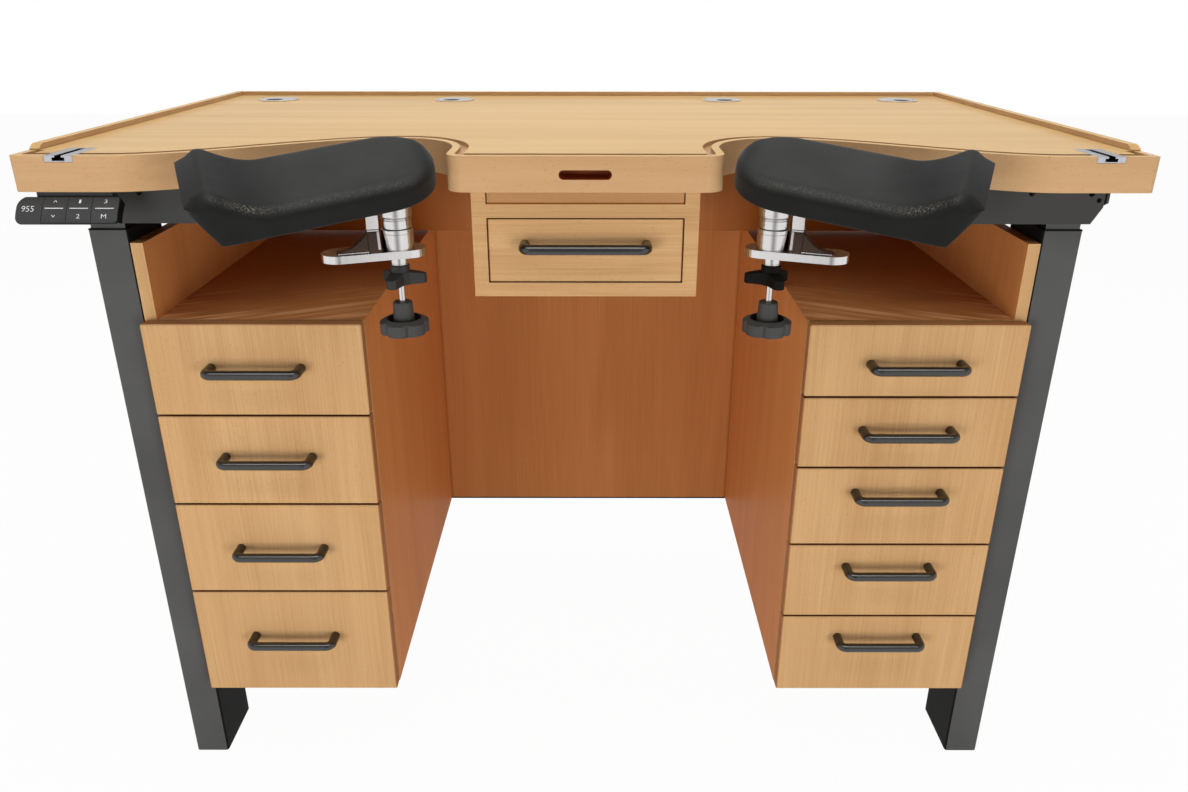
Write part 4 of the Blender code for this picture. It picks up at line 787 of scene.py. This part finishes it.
def face_point(depth, degrees):
    """A point (y, z) of the curved face, or that far behind it."""
    first, angle = math.radians(FACE_START), math.radians(degrees)
    return (FACE_FRONT + FACE_R * math.cos(first) - (FACE_R - depth) * math.cos(angle),
            FACE_LOW + (FACE_R - depth) * math.sin(angle) - FACE_R * math.sin(first))


def face_shell(name, left, right, front, back, start=FACE_START, end=FACE_END):
    turns = steps(start, end, 28) + [end]
    outline = [face_point(front, turn) for turn in turns]
    outline += [face_point(back, turn) for turn in reversed(turns)]
    return lengthways(slab(name, [outline], left, right))


def trimmed_shell(name, left, right, back, low):
    """A length of the face, trimmed to the handset's front outline above a level."""
    high = face_point(0.0, FACE_END)[1] + 0.0002
    outline = arc((HANDSET_LEFT + 0.008, low + 0.008), 0.008, 180, 270, 12)
    outline += arc((HANDSET_RIGHT - 0.004, low + 0.004), 0.004, 270, 360, 8)
    outline += arc((HANDSET_RIGHT - 0.005, high - 0.005), 0.005, 0, 90, 8)
    outline += arc((HANDSET_LEFT + 0.0105, high - 0.0105), 0.0105, 90, 180, 14)
    shell = face_shell(name, left, right, 0.0, back, FACE_START - 6, FACE_END)
    tool = upright_slab(slab("end_tool", [outline], FACE_FRONT - 0.004, FACE_FRONT + FACE_R))
    return cut(shell, tool, operation="INTERSECT")


def on_face(obj, x, degrees, proud=0.00016):
    """Bends a flat print round its middle onto the face."""
    xs = [v.co.x for v in obj.data.vertices]
    ys = [v.co.y for v in obj.data.vertices]
    middle_x, middle_y = (min(xs) + max(xs)) / 2, (min(ys) + max(ys)) / 2
    for v in obj.data.vertices:
        angle = degrees + math.degrees((v.co.y - middle_y) / FACE_R)
        y, z = face_point(-v.co.z - proud, angle)
        v.co = (x + v.co.x - middle_x, y, z)
    obj.data.update()
    return obj


def lettering(name, words, height, width, x, degrees, body):
    curve = bpy.data.curves.new(name, "FONT")
    curve.body = words
    curve.size = 0.01
    curve.extrude = 0.00005
    curve.offset = -0.00012
    print_mesh = bake(add_object(name, curve))
    size = print_mesh.dimensions
    move(print_mesh, Matrix.Diagonal((width / size.x, height / size.y, 1.0, 1.0)))
    dress(on_face(print_mesh, x, degrees), WHITE, body, None)


def make_handset():
    body = trimmed_shell("handset", HANDSET_LEFT - 0.004, HANDSET_RIGHT + 0.004, 0.012, FACE_LOW - 0.002)
    room = face_shell("room_tool", SEAMS[0], HANDSET_RIGHT + 0.01, -0.004, 0.0088, FACE_START - 7,
                      FACE_END + 4)
    floor = box("floor_tool", (SEAMS[0] - 0.004, -0.09, FACE_LOW - 0.05),
                (HANDSET_RIGHT + 0.02, 0.0, FACE_LOW - 0.0007))
    body = cut(body, cut(room, floor))
    body = soften(body, 0.0007, 3, 40)
    profile = [face_point(0.0098, turn) for turn in (34, 42, 51)]
    profile += [(-0.0395, 0.9017), (-0.0395, HANG), (-0.0275, HANG), (-0.0275, 0.8917)]
    tongue = soften(lengthways(slab("tongue", [profile], -0.66515, -0.57265)), 0.0012, 3, 40)
    plate = box("plate", (-0.66415, -0.0385, HANG - 0.004), (-0.57365, -0.005, HANG - 0.0002), 0.0006, 2)
    handset = gather("handset_case", body, tongue, plate)
    dress(smooth(handset), GREY, "lift", "handset_plastic", "handset_body")
    cap = face_shell("end_cap", HANDSET_RIGHT - 0.0006, HANDSET_RIGHT + 0.0010, 0.0010, 0.0117,
                     FACE_START + 1, FACE_END - 1)
    dress(smooth(soften(cap, 0.0004, 2, 40)), JET, "lift", "black_plastic")
    lettering("print_height", "955", 0.0073, 0.0147, -0.6690, 38.1, "lift")
    marks = ((("^", 0.0030, 0.0046), ("v", 0.0030, 0.0046)), (("1", 0.0052, 0.0024), ("2", 0.0052, 0.0042)),
             (("3", 0.0052, 0.0038), ("M", 0.0052, 0.0060)))
    for i, (over, under) in enumerate(marks):
        name, start = f"handset_key_{i + 1}", SEAMS[i] + 0.0006
        stop = SEAMS[i + 1] if i < 2 else HANDSET_RIGHT + 0.004
        middle = (SEAMS[i] + min(stop, HANDSET_RIGHT)) / 2
        key = trimmed_shell(f"key_{i + 1}", start, stop, 0.0052, FACE_LOW)
        dress(smooth(soften(key, 0.0006, 3, 40)), GREY, name, "black_plastic", name)
        lettering(f"print_over_{i + 1}", *over, middle, 47.6, name)
        lettering(f"print_under_{i + 1}", *under, middle, 29.4, name)
        corner = Vector((0.0111, 0.0005, 0.00005))
        line = box(f"print_line_{i + 1}", -corner, corner, 0.00004, 1)
        dress(on_face(line, middle, 38.8), WHITE, name, None)


make_handset()


# Armrests, in the CAD's sizes: s outwards from the swivel axis, w towards the back, h up

ARM_X, ARM_Y, ARM_YAW = 0.233, -0.034, 0.3587
PAD_TILT, PAD_SLOPE, PAD_TURN, PAD_OFFSET, PAD_BASE = 0.341, 0.132, 0.0276, 0.013, 0.9184
PAD_HALF, PAD_THICK, PAD_EDGE, PAD_LOW_EDGE = 0.065, 0.0381, 0.0163, 0.0035
PAD_FLAT_END, PAD_TIP, PAD_TIP_H = 0.1942, 0.2234, 0.0525
PAD_CREST, PAD_CREST_H, PAD_CREST_R, PAD_VALLEY = 0.1933, 0.0681, 0.0108, 0.1309
PAD_TAPER, PAD_TAPER_START = 0.0137, 0.1758
PLATE_TOP, PLATE_LOW = 0.8416, 0.832
UPRIGHT_TOP, GUSSET_TOP, BLOCK_TOP, LEAN = 0.885, 0.8650, 0.8652, 0.34


def pad_top(s):
    """Flat, then a hollow up to a rounded crest, then the slope of the end facet."""
    rise = max(0.0, s - PAD_VALLEY) / (PAD_CREST - PAD_VALLEY)
    hollow = PAD_THICK + (PAD_CREST_H - PAD_THICK) * rise ** 1.8
    facet = PAD_CREST_H + (PAD_TIP_H - PAD_CREST_H) * (s - PAD_CREST) / (PAD_TIP - PAD_CREST)
    share = max(0.0, PAD_CREST_R - abs(hollow - facet)) / PAD_CREST_R
    return min(hollow, facet) - share * share * PAD_CREST_R / 4


def pad_section(s):
    """One ring of points round the pad: round upper edges, crisper lower ones, crowned top, narrow tip."""
    narrowing = max(0.0, s - PAD_TAPER_START) / (PAD_TIP - PAD_TAPER_START)
    half, top = PAD_HALF - PAD_TAPER * narrowing ** 2, pad_top(s)
    bottom = max(0.0, PAD_TIP_H * (s - PAD_FLAT_END) / (PAD_TIP - PAD_FLAT_END))
    if s < 0.0:
        half = math.sqrt(max(PAD_HALF ** 2 - s ** 2, 0.0))
        from_end = PAD_HALF + s
        if from_end < PAD_EDGE:
            top -= PAD_EDGE - math.sqrt(PAD_EDGE ** 2 - (PAD_EDGE - from_end) ** 2)
        if from_end < PAD_LOW_EDGE:
            bottom += PAD_LOW_EDGE - math.sqrt(PAD_LOW_EDGE ** 2 - (PAD_LOW_EDGE - from_end) ** 2)
    edge = min(PAD_EDGE, half * 0.9, (top - bottom) * 0.45)
    low_edge = min(PAD_LOW_EDGE, edge)
    low_half = half - 0.002 * min(1.0, half / PAD_HALF)
    sides = []
    for i in range(1, 8):
        t = i / 8
        sides.append((half + (low_half - half) * t, top - edge + (bottom + low_edge - top + edge) * t))
    ring = arc((half - edge, top - edge), edge, 0, 90, 14)
    ring += [((half - edge) * (1 - i / 10), top) for i in range(1, 20)]
    ring += arc((edge - half, top - edge), edge, 90, 180, 14)
    ring += [(-w, h) for w, h in sides]
    ring += arc((low_edge - low_half, bottom + low_edge), low_edge, 180, 270, 5)
    ring += [((low_edge - low_half) * (1 - i / 8), bottom) for i in range(1, 16)]
    ring += arc((low_half - low_edge, bottom + low_edge), low_edge, 270, 360, 5)
    ring += list(reversed(sides))
    crowned = []
    for w, h in ring:
        level = max(0.0, (h - bottom) / max(top - bottom, 0.001) * 2 - 1)
        crowned.append((w, h - 0.0025 * min(1.0, (w / max(half, 0.001)) ** 2) * level))
    return crowned


def worn_and_highlit(s, w, h):
    """How worn and highlit the skin is: a painted highlight along the front upper edge, and wear most
    where the hollow begins.
    """
    across = math.exp(-((w + PAD_HALF - 0.007) / 0.0045) ** 2)
    across *= math.exp(-((h - pad_top(s) + 0.005) / 0.005) ** 2)
    spot = math.exp(-((s - 0.158) / 0.017) ** 2)
    run = 1.0 if -0.03 < s < PAD_CREST else 0.0
    return across * run * (0.26 + 0.74 * spot)


def painted_top_light(s, w, h):
    """How much painted light the skin takes: on the face where the forearm lies, less in the hollow, and
    along the crest as a painted highlight.
    """
    flat = max(0.0, min(1.0, (h - pad_top(s) + 0.012) / 0.008))
    end = max(0.0, min(1.0, (s + PAD_HALF) / 0.03))
    slope = 1.0 - 0.80 * max(0.0, min(1.0, (s - PAD_VALLEY + 0.030) / 0.060))
    ridge = 0.62 * math.exp(-((s - PAD_CREST) / 0.0060) ** 2)
    facet = 0.0 if s > PAD_CREST else slope
    return flat * min(1.0, end * facet + ridge)


def make_pad(word, side, frame_matrix):
    stations = [-PAD_HALF * math.cos(math.radians(4 + 86 * i / 26)) for i in range(26)]
    crest = PAD_CREST - 0.008, PAD_CREST + 0.008
    stations += steps(0.0, PAD_VALLEY, 26) + steps(PAD_VALLEY, crest[0], 22) + steps(*crest, 16)
    stations += steps(crest[1], PAD_TIP - 0.003, 10) + [PAD_TIP - 0.003]
    bm = bmesh.new()
    rings, wear, rest = [], [], []
    for s in stations:
        section = pad_section(s)
        rings.append([bm.verts.new((side * s, w, h)) for w, h in section])
        wear += [worn_and_highlit(s, w, h) for w, h in section]
        rest += [painted_top_light(s, w, h) for w, h in section]
    count = len(rings[0])
    for first, second in zip(rings, rings[1:]):
        for i in range(count):
            j = (i + 1) % count
            bm.faces.new((first[i], first[j], second[j], second[i]))
    bm.faces.new(rings[0])
    bm.faces.new(rings[-1])
    pad = move(mesh_from(f"pad_{word}", bm), frame_matrix)
    # The second attribute carries painted light; the first, wear and a painted highlight.
    for attribute, values in (("rub", wear), ("rest", rest)):
        layer = pad.data.attributes.new(attribute, "FLOAT", "POINT")
        layer.data.foreach_set("value", values)
    pad.data.shade_smooth()
    pad.data.set_sharp_from_angle(angle=math.radians(50))
    dress(pad, PAD, f"armrest_{word}", "black_pad", f"arm_pad_{word}")


def polar(radius, degrees):
    return radius * math.cos(math.radians(degrees)), radius * math.sin(math.radians(degrees))


def side_box(name, side, low, high, rounding):
    x = sorted((side * low[0], side * high[0]))
    return box(name, (x[0], low[1], low[2]), (x[1], high[1], high[2]), rounding, 3)


def lean(obj, top):
    """Spreads the front of an upright piece forwards below a level."""
    for v in obj.data.vertices:
        if v.co.y < 0.0:
            v.co.y -= LEAN * max(0.0, top - v.co.z)
    obj.data.update()
    return obj


def make_bracket(word, side, place):
    plate = soften(slab("plate", [stadium(-0.012, 0.072, 0.022, 32)], PLATE_LOW, PLATE_TOP), 0.0007, 3, 50)
    move(plate, Matrix.Scale(side, 4, (1, 0, 0)))
    collar = turned("collar", [(0.0103, 0.001), (0.0103, 0.0252), (0.0190, 0.0252), (0.0197, 0.0248),
                               (0.0200, 0.0241), (0.0200, 0.0204), (0.0197, 0.0201), (0.0197, 0.0197),
                               (0.0200, 0.0194), (0.0200, 0.0012), (0.0188, 0.0004), (0.0188, -0.001)],
                    base=PLATE_TOP)
    bush = turned("bush", [(0.0115, 0.001), (0.0115, -0.0085), (0.0111, -0.0089), (0.0111, -0.0094),
                           (0.0115, -0.0098), (0.0115, -0.0106), (0.0108, -0.0112), (0.0, -0.0112)],
                  base=PLATE_LOW)
    outline = [(0.030, PLATE_TOP - 0.001), (0.075, PLATE_TOP - 0.001)]
    tip, top = Vector((0.075, PLATE_TOP + 0.001)), Vector((0.0370, GUSSET_TOP))
    inwards = Vector((tip.y - top.y, top.x - tip.x)).normalized()
    for i in range(13):
        t = i / 12
        outline.append(tuple(tip.lerp(top, t) + inwards * 0.005 * 4 * t * (1 - t)))
    outline.append((0.030, GUSSET_TOP))
    gusset = upright_slab(soften(slab("gusset", [outline], -0.003, 0.003), 0.0006, 2, 50), side)
    gusset = lean(gusset, GUSSET_TOP)
    blocks = {
        "lower": ((0.0225, -0.006, PLATE_TOP - 0.001), (0.0375, 0.010, BLOCK_TOP), 0.0013),
        "edge": ((0.0228, -0.0063, PLATE_TOP + 0.002), (0.0262, -0.004, BLOCK_TOP), 0.0006),
        "foot": ((0.036, -0.0126, PLATE_TOP - 0.001), (0.0745, 0.0042, PLATE_TOP + 0.0009), 0.0006),
        "waist": ((0.0233, -0.0052, 0.8640), (0.0367, 0.0092, 0.8672), 0.0002),
        "lip": ((0.0225, -0.006, 0.8657), (0.0375, 0.010, 0.8670), 0.0005),
        "upper": ((0.0225, -0.006, 0.8674), (0.0375, 0.010, UPRIGHT_TOP), 0.0009),
        "bar": ((0.0235, 0.004, UPRIGHT_TOP - 0.012), (0.0365, 0.202, UPRIGHT_TOP - 0.0005), 0.0012),
        "riser": ((0.0245, 0.190, UPRIGHT_TOP - 0.011), (0.0355, 0.201, HANG - 0.001), 0.001),
        "flange": ((0.005, 0.165, HANG - 0.006), (0.055, 0.245, HANG), 0.001),
    }
    lower, edge, *rest = [side_box(name, side, *sizes) for name, sizes in blocks.items()]
    lower, edge = lean(lower, BLOCK_TOP), lean(edge, BLOCK_TOP)
    bracket = gather(f"bracket_{word}", plate, collar, bush, edge, *rest)
    dress(smooth(move(bracket, place)), POLISHED, "lift", "polished_steel", f"arm_bracket_{word}")
    gusset = gather(f"gusset_{word}", gusset, lower)
    dress(smooth(move(gusset, place)), SHADED, "lift", "polished_steel")


def make_post(word, place, pad_frame):
    profile = [(0.0, PAD_BASE + 0.02), (0.0195, PAD_BASE + 0.02), (0.0195, 0.8822), (0.0191, 0.8816),
               (0.0186, 0.8814), (0.0176, 0.8812), (0.0172, 0.8806), (0.0183, 0.8802), (0.0186, 0.8798),
               (0.0186, 0.8790), (0.0183, 0.8786), (0.0178, 0.8784), (0.0178, 0.8779), (0.0183, 0.8777),
               (0.0186, 0.8772), (0.0186, 0.8682), (0.0182, 0.8675), (0.0160, 0.8673), (0.0100, 0.8673),
               (0.0100, 0.8420), (0.0, 0.8420)]
    post = turned(f"post_{word}", profile, 96)
    slope = move(box("slope_tool", (-0.1, -0.1, -0.0003), (0.1, 0.1, 0.1)), pad_frame)
    post = smooth(move(cut(post, slope), place))
    dress(post, POLISHED, f"armrest_{word}", "polished_steel", f"arm_post_{word}")


def star_outline(turn):
    """Three arms with round tips and round valleys between them."""
    points = []
    valley = [0.0128 * (1 + 0.12 * (k / 4) ** 2) for k in range(5)]
    for i in range(3):
        way = turn + 120 * i
        points += [polar(valley[k], way - 60 + 6 * k) for k in range(5)]
        points += arc(polar(0.0325 - 0.0072, way), 0.0072, way - 80, way + 80, 18)
        points += [polar(valley[k], way + 60 - 6 * k) for k in range(4, 0, -1)]
    return points


def lobed_outline(turn):
    """Round knob with a small notch between its six lobes."""
    points = []
    for i in range(6):
        for k in range(16):
            from_notch = min(k, 16 - k) / 16
            dip = 0.0040 * max(0.0, 1 - from_notch / 0.26) ** 2
            points.append(polar(0.031 - dip, turn + 60 * i + 60 * k / 16))
    return points


def make_knobs(word, side, place):
    top, arm_top, bottom = 0.8205, 0.8115, 0.7957
    yaw = math.degrees(side * ARM_YAW)
    arms = slab("arms", [star_outline(90 + side * 74 + yaw)], bottom, arm_top)
    slope = turned("slope_tool", [(0.0, 0.004), (0.0365, 0.004), (0.0365, -0.0058), (0.01225, 0.0),
                                  (0.0, 0.0)], base=arm_top)
    arms = soften(cut(arms, slope), 0.0016, 3, 40)
    hub = turned("hub", [(0.0046, 0.0), (0.0113, 0.0), (0.01225, -0.001), (0.01225, -0.013),
                         (0.0, -0.013)], 48, top)
    star = gather(f"star_{word}", arms, hub)
    name = f"star_knob_{word}"
    # The right star knob takes the darker jet plastic: painted shade.
    dress(smooth(move(star, place)), BLACK if side < 0 else JET, name, "black_plastic", name)
    high, rim, low = 0.7720, 0.7505, 0.732
    head = slab("head", [lobed_outline(yaw - 90 - side * 17)], low, rim)
    slope = turned("slope_tool", [(0.0, 0.004), (0.036, 0.004), (0.036, -0.0066), (0.0228, 0.0),
                                  (0.0, 0.0)], base=rim)
    head = soften(cut(head, slope), 0.0022, 4, 25)
    dish = turned("dish_tool", [(0.0, 0.004), (0.0222, 0.004), (0.0218, 0.0), (0.0165, -0.009),
                                (0.0, -0.009)], base=rim)
    head = cut(head, dish)
    hub = turned("hub", [(0.0, high), (0.0112, high), (0.0120, high - 0.0006), (0.01225, high - 0.0018),
                         (0.01385, rim - 0.0085), (0.01385, rim - 0.010), (0.0, rim - 0.010)])
    lower = gather(f"lower_{word}", head, hub)
    name = f"lower_knob_{word}"
    dress(smooth(move(lower, place)), KNOB, name, "black_plastic", name)
    well = turned(f"well_{word}", [(0.0138, -0.0088), (0.0164, -0.0088), (0.0213, -0.0006), (0.0214, -0.0010),
                                   (0.0165, -0.0091), (0.0138, -0.0091)], 64, rim)
    dress(smooth(move(well, place)), JET, name, "black_plastic")
    profile = [(0.0, 0.8105), (0.0043, 0.8105), (0.0043, high - 0.002), (0.0, high - 0.002)]
    rod = turned(f"rod_{word}", profile, 32)
    dress(smooth(move(rod, place)), POLISHED, name, "polished_steel")


def make_armrests():
    for side, word in SIDES:
        place = Matrix.Translation((side * ARM_X, ARM_Y, 0.0)) @ Matrix.Rotation(-side * ARM_YAW, 4, "Z")
        slope = Euler((PAD_TILT, side * PAD_SLOPE, -side * PAD_TURN), "XYZ").to_matrix().to_4x4()
        pad_frame = Matrix.Translation((side * PAD_OFFSET, 0.0, PAD_BASE)) @ slope
        make_pad(word, side, place @ pad_frame)
        make_bracket(word, side, place)
        make_post(word, place, pad_frame)
        make_knobs(word, side, place)


make_armrests()


# Stage: floor, light and camera

MIRRORED = ("Glossy", "Transmission")
FLOOR_WHITE, CARD_X, CARD_HALF = 0.97, 0.01, 0.80


def sheet(name, size, finish, scale, dark, light):
    """A flat sheet of a faintly clouded grey, and its paint."""
    bm = bmesh.new()
    bmesh.ops.create_grid(bm, x_segments=1, y_segments=1, size=size)
    flat = mesh_from(name, bm)
    paint = Paint(finish, roughness=0.9, specular_ior_level=0.0)
    shade = paint.noise(paint.place(), scale)
    paint.link(paint.ramp(shade, ((0.3, (dark,) * 3), (0.7, (light,) * 3))), "Base Color")
    flat.data.materials.append(paint.material)
    return flat, paint


def make_floor():
    """A pale floor: white where it is seen, with the soft shadow of the bench kept."""
    floor, paint = sheet("floor", 9.0, "pale_floor", 3.0, 0.79, 0.81)
    glow = paint.node("ShaderNodeEmission", {"Color": (1.0, 1.0, 1.0, 1.0), "Strength": 1.0}).outputs[0]
    share = paint.times(paint.rays("Camera", *MIRRORED), FLOOR_WHITE)
    mixed = paint.node("ShaderNodeMixShader", {0: share, 1: paint.shader.outputs[0], 2: glow}).outputs[0]
    paint.tree.links.new(mixed, paint.tree.nodes["Material Output"].inputs["Surface"])


def make_flag():
    """A dark card with soft edges in front of the bench, which only shows in polished metal."""
    flag, paint = sheet("dark_card", 0.5, "card_black", 5.0, 0.05, 0.06)
    flag.data.transform(Matrix.Translation((CARD_X, -1.75, 0.75)) @ Matrix.Rotation(math.pi / 2, 4, "X")
                        @ Matrix.Diagonal((CARD_HALF * 2, 1.5, 1.0, 1.0)))
    flag.location = SHIFT
    away = paint.maths("ABSOLUTE", paint.maths("SUBTRACT", paint.axis("Object", "X"), CARD_X))
    paint.link(paint.spread(away, 0.08, CARD_HALF, 0.66, 0.0), "Alpha")
    for ray in ("camera", "diffuse", "shadow", "transmission"):
        setattr(flag, f"visible_{ray}", False)


def make_world():
    """White all round where it is seen; in reflections the ceiling of the studio is dimmer."""
    world = bpy.data.worlds.new("studio")
    world.use_nodes = True
    bpy.context.scene.world = world
    studio = Nodes(world.node_tree)
    ceiling = studio.spread(studio.axis("Generated", "Z"), 0.15, 0.65, 1.0, 0.30)
    mirrored = studio.times(ceiling, studio.rays(*MIRRORED))
    scattered = studio.spread(studio.rays("Camera", *MIRRORED), 0.0, 1.0, 0.16, 0.0)
    strength = studio.maths("MAXIMUM", studio.maths("MAXIMUM", studio.rays("Camera"), mirrored), scattered)
    background = studio.tree.nodes["Background"].inputs
    studio.tree.links.new(strength, background["Strength"])
    background["Color"].default_value = (1.0, 1.0, 1.0, 1.0)


def lamp(name, place, target, size, power, gleam=False):
    data = bpy.data.lights.new(name, "AREA")
    data.shape = "RECTANGLE"
    data.size, data.size_y = size
    data.energy = power
    obj = add_object(name, data)
    obj.location = Vector(place) + SHIFT
    obj.visible_glossy = gleam
    obj.visible_diffuse = not gleam
    towards = Vector(target) - Vector(place)
    obj.rotation_euler = towards.to_track_quat("-Z", "Y").to_euler()


def make_lamps():
    """Two low soft lights in front, strips above the top, and weaker ones behind and at the sides.
    The last one only gleams in glossy surfaces, where the others do not show."""
    lamp("front_left", (-1.35, -2.3, 0.55), (-0.25, 0.0, 0.40), (1.1, 1.0), 30.5)
    lamp("front_right", (1.35, -2.3, 0.55), (0.25, 0.0, 0.40), (1.1, 1.0), 26.5)
    for i, (y, power) in enumerate(((-1.30, 11.0), (-0.40, 14.5), (0.40, 15.0), (1.10, 15.5))):
        lamp(f"strip_{i + 1}", (0.0, y, 2.75), (0.0, 0.35, 0.95), (3.2, 0.14), power)
    lamp("back", (0.0, 3.6, 0.5), (0.0, 0.5, 0.5), (2.4, 0.9), 40.0)
    for side, word in SIDES:
        lamp(f"side_{word}", (side * 3.4, 0.4, 1.0), (side * 0.6, 0.3, 0.5), (1.6, 1.2), 6.0)
    lamp("gleam", (0.0, -1.30, 2.75), (0.0, 0.0, 0.70), (3.2, 0.60), 32.0, True)


def make_camera():
    pitch, yaw, roll, focal = 0.40007, 0.00115, 0.00137, 933.126
    forward = Vector((math.sin(yaw) * math.cos(pitch), math.cos(yaw) * math.cos(pitch), -math.sin(pitch)))
    right = Vector((math.cos(yaw), -math.sin(yaw), 0.0))
    up = right.cross(forward)
    across = right * math.cos(roll) + up * math.sin(roll)
    upright = up * math.cos(roll) - right * math.sin(roll)
    data = bpy.data.cameras.new("camera")
    data.sensor_fit = "HORIZONTAL"
    data.sensor_width = 36.0
    data.lens = focal / 1188 * 36.0
    camera = add_object("camera", data)
    place = Vector((0.00952, -1.17629, 1.12401)) + SHIFT
    turn = Matrix((across, upright, -forward)).transposed()
    camera.matrix_world = Matrix.Translation(place) @ turn.to_4x4()
    bpy.context.scene.camera = camera


bpy.context.scene.view_settings.view_transform = "Standard"
make_floor()
make_flag()
make_world()
make_lamps()
make_camera()
